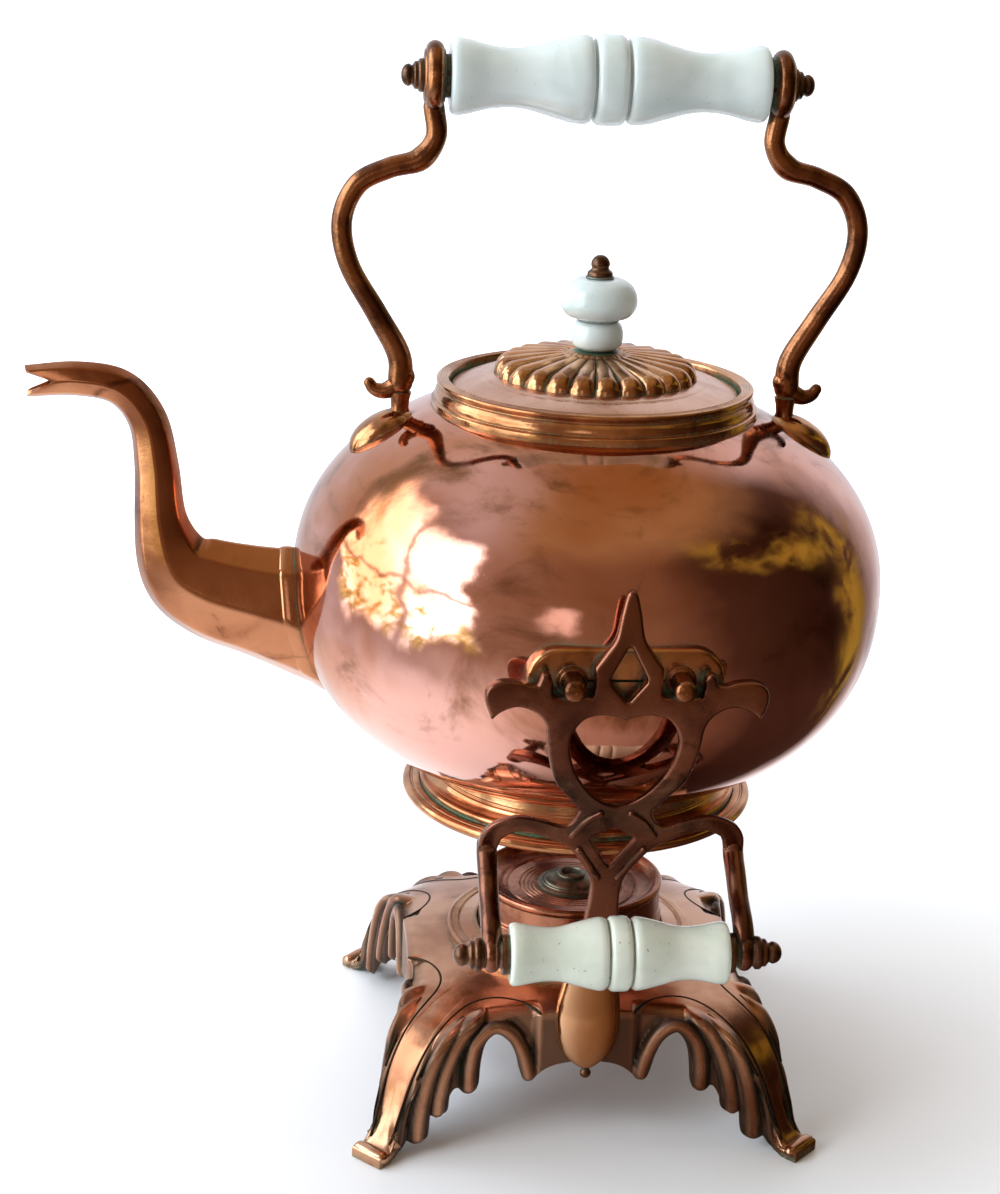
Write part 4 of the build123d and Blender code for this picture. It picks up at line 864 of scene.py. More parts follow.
def knob_surface():
    """Two-tier glass knob: a small round tier and a large oblate one, turned about Z."""
    z = KNOB_Z + 0.6
    low = spline(lifted([(7.4, 0.05), (8.7, 1.4), (9.15, 4.4), (8.6, 7.6), (7.2, 9.5)], z), 24)
    neck = lifted([(6.9, 9.8), (7.0, 10.1)], z)
    high = spline(lifted([(8.4, 10.4), (11.4, 11.7), (13.2, 14.4), (13.55, 17.0), (12.9, 20.0), (11.0, 22.6),
                          (8.2, 24.1), (6.6, 24.38)], z), 40)
    return turned(np.vstack([[(2.1, z + 0.05)], low, neck, high, [(2.1, z + 24.38)]]), 128)


def knob_nut_surface():
    """Domed nut: flared foot, hollow and an acorn, turned about Z."""
    line = lifted([(0.01, 0.02), (4.2, 0.02), (4.45, 0.3), (4.45, 1.1), (4.1, 1.6), (3.5, 2.0), (3.0, 2.6),
                   (3.0, 3.1), (3.3, 3.6), (3.3, 4.4), (3.0, 5.4), (2.3, 6.4), (1.3, 7.05), (0.01, 7.25)],
                  KNOB_Z + 25.8)
    return turned(line, 64)


def knob_ring_surfaces():
    """Thin washers with eased rims under and over the knob's glass, turned about Z."""
    under = [(2.1, 0.02), (6.2, 0.02), (6.4, 0.2), (6.4, 0.4), (6.2, 0.58), (2.1, 0.58)]
    over = [(2.1, 0.02), (4.7, 0.02), (4.95, 0.25), (4.95, 0.5), (4.7, 0.76), (2.1, 0.76)]
    return [moved(turned(under, 64), (0, 0, KNOB_Z)), moved(turned(over, 64), (0, 0, KNOB_Z + 25.0))]


# ---- brackets ------------------------------------------------------------------------------

LEAN = spline([(79.6, 90.0), (81.8, 98.0), (87.2, 112.0), (93.6, 128.0), (100.2, 144.0), (106.4, 158.0),
               (110.8, 174.0), (111.9, 190.0), (111.7, 206.0), (110.9, 226.0)], 200)


def lean_at(z):
    """Distance of the casting's middle plane in front of the axis at a height."""
    return np.interp(z, LEAN[:, 1], LEAN[:, 0])


def bracket_loops():
    """Outlines of the casting, right half then left: spike, slot, wing, heart frame, arm and stem;
    then the diamond, the heart and the kite."""
    slot_floor, arm_end = 187.35, 127.0
    spike = spline([(0, 222.4), (1.5, 221.4), (3.0, 215.5), (4.6, 207.0), (7.6, 202.1), (10.9, 197.4)], 26)
    slot = np.array([(10.95, 196.4), (10.95, 189.0), (11.6, 187.7), (12.6, slot_floor), (22.4, slot_floor),
                     (23.4, 187.7), (24.1, 189.0), (24.1, 192.4), (24.6, 194.2), (25.9, 195.6),
                     (27.6, 195.0), (28.7, 191.6)])
    wing = spline([(28.7, 191.6), (31.4, 191.4), (35.0, 192.5), (40.4, 192.7), (44.4, 190.6), (45.2, 186.0),
                   (43.1, 179.8)], 30)
    under = spline([(43.1, 179.8), (39.6, 182.7), (34.6, 184.2), (29.4, 182.3), (25.6, 177.4), (24.2, 167.0),
                    (21.0, 155.8), (15.6, 148.4), (11.7, 142.9)], 46)
    over = spline([(11.7, 142.9), (13.4, 139.2), (17.0, 136.8), (24.0, 139.3), (32.0, 140.9), (40.0, 137.9),
                   (43.6, 132.6), (44.4, 127.2)], 40)
    inner = spline([(37.9, arm_end), (37.0, 130.6), (35.4, 132.7), (30.0, 134.8), (22.0, 132.3),
                    (14.4, 127.6), (9.2, 120.6), (5.6, 113.4), (5.0, 106.0), (5.9, 93.1)], 50)
    right = np.vstack([spike, slot, wing[1:], under[1:], over[1:], [(42.0, arm_end)], inner])
    outer = np.vstack([right, right[::-1] * [-1, 1]])
    keep = np.linalg.norm(outer - np.roll(outer, 1, 0), axis=1) > 0.2
    outer = soften(outer[keep], 0.25, 1)
    diamond = soften([(0, 205.2), (6.2, 193.2), (0, 185.4), (-6.2, 193.2)], 0.9, 3)
    lobe = spline([(0, 179.6), (3.2, 180.9), (8.6, 181.4), (14.0, 179.4), (17.5, 172.6), (16.0, 162.8),
                   (11.2, 153.4), (5.4, 147.4), (0, 145.2)], 44)
    heart = np.vstack([lobe, lobe[-2:0:-1] * [-1, 1]])
    kite = soften([(0, 136.4), (7.6, 131.6), (0, 118.6), (-7.6, 131.6)], 0.9, 3)
    return outer, [diamond, heart, kite]


def bent(points):
    """A plate drawn flat, as (x, z, depth), carried on to the casting's leaning middle plane, its
    depth turned part of the way square to that plane; the spike's top is thinned."""
    x, z, depth = points.T
    slope = (lean_at(z + 1) - lean_at(z - 1)) / 2
    lengths = np.sqrt(1 + slope ** 2)
    depth = depth * (1 - 0.25 * np.clip((z - 200) / 24, 0, 1))
    return np.stack([x, -(lean_at(z) + depth / lengths), z + depth * slope / lengths * 0.4], 1)


def bracket_surfaces():
    """The pierced casting: rounded edges and two flat faces, carried on to its leaning plane."""
    outer, holes = bracket_loops()
    loops = [anticlockwise(outer)] + [anticlockwise(hole)[::-1] for hole in holes]
    rims = [inset(loop, CASTING_BEVEL) for loop in loops]
    surfaces = [plate_edges(loops, CASTING_HALF, CASTING_BEVEL)] + plate_faces(rims, CASTING_HALF)
    return [(bent(points), faces) for points, faces in surfaces]


def crossing_surfaces():
    """Low rolls along the edges of the lap where the casting's arms cross, and the solder roll at
    the stem's foot, which bends out round the stem by an ellipse."""
    lines = [[(-13.6, 133.6), (-9.4, 139.6), (-5.0, 143.0)], [(5.0, 143.0), (9.4, 139.6), (13.6, 133.6)],
             [(-10.8, 127.4), (-7.2, 121.4), (-3.4, 115.2)], [(3.4, 115.2), (7.2, 121.4), (10.8, 127.4)]]
    made = []
    for line in lines:
        p = spline(line, 18)
        path = np.column_stack([p[:, 0], -(lean_at(p[:, 1]) + 2.3), p[:, 1]])
        made.append(swept(path, 1.25, 14))
    turn = np.linspace(-1, 1, 22)
    out = lean_at(94.0) + 2.5 * np.sqrt(1 - turn ** 2 * 0.85)
    made.append(swept(np.column_stack([5.6 * turn, -out, np.full(len(turn), 93.6)]), 0.75, 12))
    return made


def leaf_back(z):
    """Distance of the leaf's flat back in front of the axis."""
    stem_back, foot = 77.5, SIDE_Y + 0.3
    share = np.clip((z - 50.0) / 43.0, 0, 1)
    return foot + (stem_back - foot) * share ** 1.3


def leaf_surface():
    """Spoon-shaped leaf: half widths and depths interpolated down its length, each section a
    rounded front over a flat back, closed to a point below."""
    rows = spline([(93, 6.0, 4.6), (85, 6.5, 4.9), (78, 7.4, 5.1), (70, 8.7, 5.5), (62, 10.0, 5.9),
                   (54, 11.2, 6.2), (47, 11.5, 6.3), (40, 10.8, 6.0), (34.5, 8.7, 5.2), (30.8, 5.6, 4.0),
                   (28.6, 2.6, 2.8), (27.9, 0.6, 1.6)], 70)
    a = np.linspace(0, np.pi, 25)
    arc = np.stack([np.cos(a), np.sin(a) ** 0.82], 1)
    back = np.stack([np.linspace(-0.96, 0.96, 9), np.zeros(9)], 1)
    section = np.vstack([arc, back])
    y = -leaf_back(rows[:, 0])
    points = np.stack([rows[:, 1][:, None] * section[:, 0], y[:, None] - rows[:, 2][:, None] * section[:, 1],
                       np.repeat(rows[:, :1], len(section), 1)], -1)
    ends = [np.repeat(points[i].mean(0)[None], len(section), 0)[None] for i in (0, -1)]
    points = np.concatenate([ends[0], points, ends[1]])
    return points.reshape(-1, 3), quads_of(len(points), len(section), False, True)


def hanger_surfaces(side):
    """Round hanger swept from the casting's arm to the grip's eye, a little fatter at its ends than
    in its middle, and the eye turned about X."""
    x = side * HANGER_X
    back = float(lean_at(127.0))
    line = spline([(back + 0.1, 128.5), (back + 1.2, 125.0), (back + 8.0, 120.4),
                   ((back + LOW_Y) / 2, 115.4), (LOW_Y - 5.6, 110.8), (LOW_Y - 1.0, 106.2),
                   (LOW_Y, 102.6)], 60)
    path = np.column_stack([np.full(len(line), x), -line[:, 0], line[:, 1]])
    along = np.linspace(0, 1, len(line))
    bar = swept(path, 3.3 + 0.15 * np.cos(along * np.pi) ** 2, 28)
    eye = [(2.3, -3.3), (4.7, -3.3)] + bead(3.3, 0, 2.6, 9, -66, 66) + [(4.7, 3.3), (2.3, 3.3)]
    return [bar, along_x(turned(eye, 64), (x, -LOW_Y, LOW_Z))]


# ---- base ----------------------------------------------------------------------------------

CROWN = spline([(30.0, 52.6), (46.0, 52.0), (60.0, 49.8), (74.0, 46.0), (85.0, 39.6), (93.5, 29.0),
                (99.0, 17.0), (103.0, 7.5), (107.0, 3.6), (112.0, 4.6)], 400)
EDGE = spline([(0, SIDE_Y), (26, 62.3), (43.0, 64.6), (57.0, 70.6), (65.8, 75.9), (73.9, 83.1)], 300)
HEM = spline([(0, 30.2), (6, 29.6), (11, 28.6), (15, 26.6), (17.4, 24.2), (19.0, 22.6), (20.8, 22.3),
              (22.4, 23.8), (23.9, 28.0), (25.2, 33.4), (27.6, 38.4), (31.6, 40.9), (35.6, 38.8),
              (37.8, 34.0), (38.7, 27.6), (39.4, 21.4), (41.0, 18.9), (43.0, 19.0), (45.0, 20.6),
              (47.2, 19.4), (49.4, 15.2), (51.2, 12.2), (53.2, 12.0), (55.0, 13.2), (56.6, 10.2),
              (57.9, 5.2), (59.6, 3.6), (61.6, 4.2), (63.2, 5.0), (65.4, 3.0), (68.0, 1.0), (71.0, 0.3),
              (73.9, 0.2)], 134)
CORNER = (73.9, 83.1)  # where a side meets the end of its leg, in plan
LEG_END = 4.6  # half a leg's end, along X
GROUND = 0.2
MOUTH_R = 33.0  # round opening under the seat ring
EDGE_ROUND = 1.1
BASE_WALL = 2.4
GADROON_SINK = 2.2  # depth of the wall between gadroons
GADROONS = [
    # reach of the rounded ridge, then its middle line in front view
    (3.1, [(41.6, 21.4), (41.3, 30.0), (39.2, 38.6), (33.0, 44.2), (26.6, 41.0), (22.6, 33.4),
           (20.3, 24.9)]),
    (3.0, [(38.5, 48.4), (44.8, 41.0), (49.4, 31.0), (52.2, 20.0), (52.8, 14.4)]),
    (3.0, [(44.5, 47.8), (51.6, 39.6), (56.6, 27.6), (59.2, 15.0), (59.9, 6.2)]),
    (1.5, [(49.6, 46.4), (57.0, 38.0), (61.6, 26.6), (64.4, 15.0), (66.0, 6.0), (69.5, 2.2)])]


def crown_z(r):
    """Height of the base's domed top at a distance from the axis."""
    return np.interp(r, CROWN[:, 0], CROWN[:, 1])


def base_outlines():
    """Upper edge in plan (x, y) and hem in front view (x, z) of half a side, point for point. The
    edge keeps step with the hem's x, evened by a bell-shaped window so that it never turns back,
    and both go on round the square end of the leg."""
    wide = np.maximum.accumulate(HEM[:, 0])
    window = np.exp(-(np.arange(-15, 16) / 6.6) ** 2)
    x = np.convolve(np.pad(wide, 15, "reflect", reflect_type="odd"), window / window.sum(), "valid")
    x = np.clip(x, 0, CORNER[0])
    x[0], x[-1] = 0.0, CORNER[0]
    end = np.linspace(0, 1, 9)[1:, None] * [[LEG_END, -LEG_END]] + [CORNER]
    edge = np.vstack([np.column_stack([x, np.interp(x, EDGE[:, 0], EDGE[:, 1])]), end])
    hem = np.vstack([HEM, np.column_stack([end[:, 0], np.full(len(end), GROUND)])])
    return edge, hem


def base_skin(edge, hem):
    """Outer skin of half a side as a grid: straight lines in plan from the mouth out over the domed
    top, a quarter circle round the edge, and straight lines in front view down to the hem."""
    on_end = np.arange(len(edge)) >= len(HEM)
    reach = np.linalg.norm(edge, axis=1)
    turn = np.arctan2(edge[:, 0], edge[:, 1])
    mouth = MOUTH_R * np.stack([np.sin(turn), np.cos(turn)], 1)
    rim = crown_z(reach)
    out = edge / reach[:, None]
    rows = []
    for u in np.concatenate([np.linspace(0, 0.7, 10, endpoint=False), np.linspace(0.7, 1, 20)]):
        flat = mouth + (edge - out * EDGE_ROUND - mouth) * u
        rows.append(np.column_stack([flat, crown_z(np.linalg.norm(flat, axis=1))]))
    sink = np.minimum(EDGE_ROUND, 0.35 * (rim - hem[:, 1]))
    for t in np.linspace(0, np.pi / 2, 6)[1:]:
        flat = edge - out * EDGE_ROUND * (1 - np.sin(t))
        rows.append(np.column_stack([flat, rim - sink * (1 - np.cos(t))]))
    for v in np.linspace(0, 1, 41)[1:]:
        x = edge[:, 0] + (hem[:, 0] - edge[:, 0]) * v
        y = np.where(on_end, edge[:, 1], np.interp(x, EDGE[:, 0], EDGE[:, 1]))
        rows.append(np.column_stack([x, y, rim - sink + (hem[:, 1] - rim + sink) * v]))
    return np.stack(rows), out


def gadrooned(grid):
    """The skin with its wall sunk, and raised along each gadroon's middle line by a round section
    of the distance to it; both fade towards the top, the plain middle and the leg."""
    normal = np.cross(np.gradient(grid, axis=1), np.gradient(grid, axis=0))
    normal /= np.linalg.norm(normal, axis=2, keepdims=True) + 1e-9
    normal *= np.sign((normal * [0, 1, 0.8]).sum(2, keepdims=True) + 1e-9)
    flat = grid[..., [0, 2]].reshape(-1, 2)
    proud = np.full(len(flat), -GADROON_SINK)
    for size, line in GADROONS:
        gap = gap_to(flat, spline(line, 90))
        proud = np.maximum(proud, 1.3 * np.sqrt(np.maximum(size ** 2 - gap ** 2, 0)) - GADROON_SINK)
    proud = proud.reshape(grid.shape[:2])
    down = np.clip((np.arange(len(grid))[:, None] - 14) / 15, 0, 1)
    past_middle = np.clip((grid[..., 0] - 16.5) / 3.0, 0, 1)
    before_leg = np.clip((71.0 - grid[..., 0]) / 3.0, 0, 1)
    weight = down * down * (3 - 2 * down) * past_middle * before_leg
    return grid + normal * (proud * weight)[..., None]


def base_half_side():
    """Right half of one side of the base, a closed band: the gadrooned skin from the mouth to the
    hem, then some of its rows again from the hem back up, a wall further in."""
    edge, hem = base_outlines()
    grid, out = base_skin(edge, hem)
    grid = gadrooned(grid)
    back = grid[::-1][[0, 2, 8, 18, 36, 41, 46, 54, 62, 74]].copy()
    inward = np.array([0.6, 1, 1, 1, 1, 1, 0.7, 0.3, 0, 0])
    lowered = np.array([0, 0, 0, 0, 1.2, 2.2] + 4 * [BASE_WALL])
    back[:, :, :2] -= out[None] * BASE_WALL * inward[:, None, None]
    back[:, :, 2] = np.maximum(back[:, :, 2] - lowered[:, None], GROUND)
    points = np.concatenate([grid, back]) * [1, -1, 1]
    return points.reshape(-1, 3), quads_of(len(points), points.shape[1], True, False)


def base_groove_shade(points):
    """Painted shade at points of the base, 0 to 1: high where a point of a side wall lies between
    the gadroons, by its distance to their middle lines, less on the plain middle of a side, and
    nil on the domed top and the legs."""
    across = np.minimum(np.abs(points[:, 0]), np.abs(points[:, 1]))
    out = np.maximum(np.abs(points[:, 0]), np.abs(points[:, 1]))
    flat = np.column_stack([across, points[:, 2]])
    gap = np.min([gap_to(flat, spline(line, 60)) - size for size, line in GADROONS], axis=0)
    inward = np.interp(across, EDGE[:, 0], EDGE[:, 1]) - out
    wall = np.clip(1 - (inward - 1.5) / 4.0, 0, 1) * np.clip((70.0 - across) / 3, 0, 1)
    plain = 0.8 * np.clip((18.5 - across) / 3, 0, 1) * np.clip((50.0 - points[:, 2]) / 4, 0, 1)
    folds = np.clip((gap + 2.9) / 2.3, 0, 1) * np.clip((across - 15.5) / 3, 0, 1)
    return wall * np.maximum(plain, folds * np.clip((5.0 - gap) / 3.0, 0.7, 1))


def four_times(surface):
    """A surface and its three copies turned by quarter turns about Z."""
    points, faces = surface
    return joined([(points, faces), (points[:, [1, 0, 2]] * [-1, 1, 1], faces),
                   (points * [-1, -1, 1], faces), (points[:, [1, 0, 2]] * [1, -1, 1], faces)])


def base_surface():
    """The whole base: a half side, mirrored, four times round."""
    return four_times(mirrored(base_half_side(), 0))


def toe_surface():
    """Rolled end of each leg: a bar swept square to the diagonal, a little fatter in its middle."""
    t = np.linspace(-1, 1, 40)
    d = TOE_REACH - TOE_R
    path = np.column_stack([(d - 5.0 * t) / np.sqrt(2), -(d + 5.0 * t) / np.sqrt(2), np.full(len(t), TOE_R)])
    return four_times(swept(path, 2.55 + 0.25 * np.cos(t * np.pi / 2), 28))


def line_surfaces():
    """Incised lines on the base's top: fine dark wires let into the skin along plan curves, a painted shade
    in place of cut grooves.
    """
    made = []
    arch = [(16.8, 61.2), (18.8, 58.2), (22.0, 55.0), (26.5, 52.4), (31.5, 50.8), (37.0, 50.8), (42.4, 53.0),
            (48.0, 57.4), (54.0, 62.8), (60.0, 68.2), (65.6, 72.9), (70.0, 76.4)]
    rib = [(44.0, 58.2), (49.4, 62.4), (55.0, 67.2), (60.6, 71.2)]
    for line in (arch, rib):
        p = spline(line, 110)
        path = np.column_stack([p[:, 0], -p[:, 1], crown_z(np.linalg.norm(p, axis=1)) - 0.28])
        made.append(four_times(mirrored(swept(path, 0.52, 8), 0)))
    return made


def seat_surface():
    """Seat ring: flat band with a rounded rim, an incised line and a low step, turned about Z."""
    z = SEAT_Z
    line = [(31.0, 52.0), (SEAT_R, 51.4), (SEAT_R, z - 1.0), (SEAT_R - 0.25, z - 0.3), (SEAT_R - 0.9, z),
            (41.9, z), (41.7, z - 0.35), (41.3, z - 0.35), (41.1, z), (36.5, z), (36.3, z + 0.5),
            (36.1, z + 1.0), (35.7, z + 1.15), (35.0, z + 1.1), (34.9, 53.8), (31.0, 53.8)]
    return turned(soften(line, 0.12, 1), 192)


# ---- lamp ----------------------------------------------------------------------------------

def font_surface():
    """Drum of the lamp: banded foot and plain wall, open above, turned about Z."""
    line = [(0.01, 54.0), (33.2, 54.0), (34.1, 54.6), (LAMP_R, 55.4), (LAMP_R, 61.6), (34.15, 62.1),
            (33.7, 62.3), (33.5, 62.7), (33.6, 63.2), (33.9, 63.7), (33.6, 64.2), (33.5, 64.6),
            (33.55, 72.0), (32.6, 72.0), (32.6, 55.2), (0.01, 55.2)]
    return turned(line, 160)


def lamp_top_surface():
    """Dished cover: rolled rim, hollow, and a floor with turned grooves, turned about Z."""
    z, r = LAMP_TOP, LAMP_R
    line = [(8.7, z - 4.5)]
    for groove in (14.4, 16.0, 17.6, 19.2, 24.0):
        line += [(groove - 0.4, z - 4.5), (groove, z - 4.85), (groove + 0.4, z - 4.5)]
    line += [(26.0, z - 4.2), (29.4, z - 3.2), (31.0, z - 1.9), (31.9, z - 0.5)]
    line += bead(r - 1.45, z - 1.5, 1.42, 9, 100, -60)
    line += [(r - 0.9, z - 3.05), (r - 2.4, z - 3.2), (r - 3.4, z - 4.6), (26.0, z - 5.9), (8.7, z - 6.0)]
    return turned(line, 160)


def burner_surface():
    """Stepped screw collar of the burner, turned about Z."""
    line = lifted([(4.45, -4.9), (8.5, -4.9), (8.5, 0), (12.2, 0), (12.4, 0.25), (12.4, 0.9), (12.1, 1.2),
                   (10.9, 1.5), (10.7, 1.8), (10.0, 1.85), (9.7, 2.3), (9.3, 2.6), (7.4, 2.8), (6.9, 3.2),
                   (6.4, 3.4), (4.45, 3.4)], LAMP_TOP - 4.5)
    return turned(line, 96)


def tube_surface():
    """Wick tube with a rolled lip, turned about Z."""
    lip = bead(4.5, 75.0, 0.78, 7, -80, 100)
    line = [(3.5, 60.0), (4.35, 60.0), (4.35, 74.0)] + lip + [(3.7, 75.9), (3.5, 75.4)]
    return turned(line, 64)


def wick_surface():
    """Braided wick: a rod turned about Z with a twisted ripple and a frayed, domed top."""
    line = [(0.01, 56.0), (3.0, 56.0)] + [(3.1, z) for z in np.linspace(57, 73.2, 30)]
    line += [(2.7, 73.9), (1.6, 74.0), (0.01, 73.9)]

    def braid(angle, r, z):
        """Two sets of strands winding opposite ways: the product of their waves."""
        return 0.10 * (np.sin(8 * angle + 2.2 * z) * np.sin(8 * angle - 2.2 * z) - 1) * (r > 1)

    return turned(line, 72, braid)


# ---- the object ----------------------------------------------------------------------------

piece("belly", [belly_surface()], COPPER, "kettle", ["kettle_body", "kettle_shoulder"])
piece("foot", [foot_surface()], GILT, "kettle", ["foot_ring"])
piece("collar", [collar_surface()], GILT, "kettle", ["neck_collar"])
piece("swan_spout", [spout_surface()], SPOUT_COPPER, "kettle", ["spout"], crease=16)
piece("spout_band", [spout_collar_surface()], SPOUT_COPPER, "kettle", ["spout_collar"],
      crease=30)
for label, left in (("right", False), ("left", True)):
    piece("dome_" + label, reflected([saddle_surface()], 0, left), GILT, "kettle",
          ["saddle_" + label])
    piece("arm_" + label, reflected(arm_surfaces(), 0, left), ARM_BRONZE, "kettle",
          ["handle_arm_" + label])
high = (0, 0, GRIP_Z)
piece("handle_glass", [moved(grip_surface(**TOP_GRIP), high)], TOP_GLASS, "kettle",
      ["top_grip"], crease=60)
piece("handle_nuts", [moved(nut_surface(**TOP_NUTS), high)], NUT, "kettle", ["top_finials"])
piece("handle_washers", [moved(washer_surface(**TOP_WASHERS), high)], NUT, "kettle",
      ["top_washers"])
pads = pad_surface()
pegs = peg_surface()
front_pegs = joined([moved(pegs, (x, -PAD_Y, PEG_Z)) for x in (-PEG_X, PEG_X)])
piece("pad_front", [pads], GILT, "kettle", ["trunnion_pad_front"])
piece("pad_rear", [flipped(pads, 1)], GILT, "kettle", ["trunnion_pad_rear"])
piece("pegs_front", [front_pegs], ARM_BRONZE, "kettle", ["trunnion_pegs_front"])
piece("pegs_rear", [flipped(front_pegs, 1)], ARM_BRONZE, "kettle", ["trunnion_pegs_rear"])

piece("lid_dome", [lid_surface()], LID, "lid", ["lid_plate"])
piece("rosette", [rosette_surface()], GILT, "lid", ["lid_rosette"], crease=50)
piece("knob", [knob_surface()], TOP_GLASS, "lid", ["knob_glass"], crease=50)
piece("knob_cap", [knob_nut_surface()], NUT, "lid", ["knob_nut"])
piece("knob_rings", knob_ring_surfaces(), STEEL, "lid", ["knob_washers"])

low = (0, -LOW_Y, LOW_Z)
casting = bracket_surfaces() + crossing_surfaces()
hangers = [surface for side in (1, -1) for surface in hanger_surfaces(side)]
for label, rear in (("front", False), ("rear", True)):
    piece("casting_" + label, reflected(casting, 1, rear), CASTING, "stand",
          ["bracket_" + label], weld=0.02)
    piece("spoon_" + label, reflected([leaf_surface()], 1, rear), LEAF, "stand",
          ["leaf_" + label])
    piece("hooks_" + label, reflected(hangers, 1, rear), CASTING, "stand",
          ["hangers_" + label])
    piece("glass_" + label, reflected([moved(grip_surface(**LOW_GRIP), low)], 1, rear), LOW_GLASS, "stand",
          ["low_grip_" + label], crease=60)
    piece("nuts_" + label, reflected([moved(nut_surface(**LOW_NUTS), low)], 1, rear), NUT, "stand",
          ["low_finials_" + label])
    piece("rings_" + label, reflected([moved(washer_surface(**LOW_WASHERS), low)], 1, rear), NUT, "stand",
          ["low_washers_" + label])
piece("four_legs", [base_surface()], BASE, "stand", ["stand_base"], crease=50, weld=0.02,
      groove=base_groove_shade)
piece("toes", [toe_surface()], BASE, "stand")
piece("incised_lines", line_surfaces(), INCISED_SHADE, "stand")
piece("seat", [seat_surface()], BASE, "stand", ["seat_ring"])

piece("font", [font_surface()], LAMP, "lamp", ["lamp_font"])
piece("font_cover", [lamp_top_surface()], LAMP, "lamp", ["lamp_top"])
piece("burner_collar", [burner_surface()], BURNER, "lamp", ["burner"])
piece("wick_sleeve", [tube_surface()], BURNER, "lamp", ["wick_tube"])
piece("braided_wick", [wick_surface()], WICK, "lamp", ["wick"])

# rods and screws keep the solids' own shape
PLAIN_METALWORK = ("top_rod", "knob_stud", "low_rod_front", "low_rod_rear", "leaf_screw_front",
                   "leaf_screw_rear")
for name in PLAIN_METALWORK:
    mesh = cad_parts[name].data
    mesh.materials.clear()
    mesh.materials.append(NUT)


# ---- floor, light and camera -----------------------------------------------------------------

BELLY_MIDDLE = (0.0, 0.0, 0.19)
OBJECT_MIDDLE = (0.0, 0.0, 0.17)
FLOOR_HALF = 12.0
TO_DEGREES = 57.296


def floor_material():
    """Pale floor: matt near the object, and glowing to white further off, so that it has no edge.
    Polish mirrors it as the room's cloth, with its painted light and shade, and further off as the
    room itself, a painted glow."""
    material = bpy.data.materials.new("Pale floor")
    material.use_nodes = True
    n = Nodes(material.node_tree)
    coords = n.add("ShaderNodeTexCoord").outputs["Object"]
    away = n.add("ShaderNodeVectorMath", [(0, coords)], operation="LENGTH").outputs["Value"]
    bsdf = material.node_tree.nodes["Principled BSDF"]
    bsdf.inputs["Roughness"].default_value = 0.55
    seen = n.add("ShaderNodeLightPath").outputs["Is Camera Ray"]
    shiny = n.add("ShaderNodeLightPath").outputs["Is Glossy Ray"]
    ray = n.add("ShaderNodeVectorMath", [(0, coords), (1, BELLY_MIDDLE)], operation="SUBTRACT").outputs[0]
    ray = n.add("ShaderNodeVectorMath", [(0, ray)], operation="NORMALIZE").outputs[0]
    room = n.add("ShaderNodeGroup", [("Direction", ray)], node_tree=ROOM).outputs[0]
    # seen in polish: near, the cloth with its painted shade on the right, lit by the lamps; further off, a
    # painted glow of the room
    far = n.step(away, 0.20, 0.50)
    mirrored_tone = n.mix(far, room, (0, 0, 0, 1))
    n.tree.links.new(n.mix(shiny, (0.83, 0.86, 0.90, 1), mirrored_tone), bsdf.inputs["Base Color"])
    n.tree.links.new(n.mix(shiny, (1, 1, 1, 1), room), bsdf.inputs["Emission Color"])
    n.tree.links.new(n.math("MULTIPLY_ADD", shiny, -0.5, 0.5), bsdf.inputs["Specular IOR Level"])
    glow = n.math("MULTIPLY", n.math("MULTIPLY", n.step(away, 0.12, 0.62), 0.75), seen)
    glow = n.math("ADD", glow, n.math("MULTIPLY", far, shiny))
    n.tree.links.new(glow, bsdf.inputs["Emission Strength"])
    return material


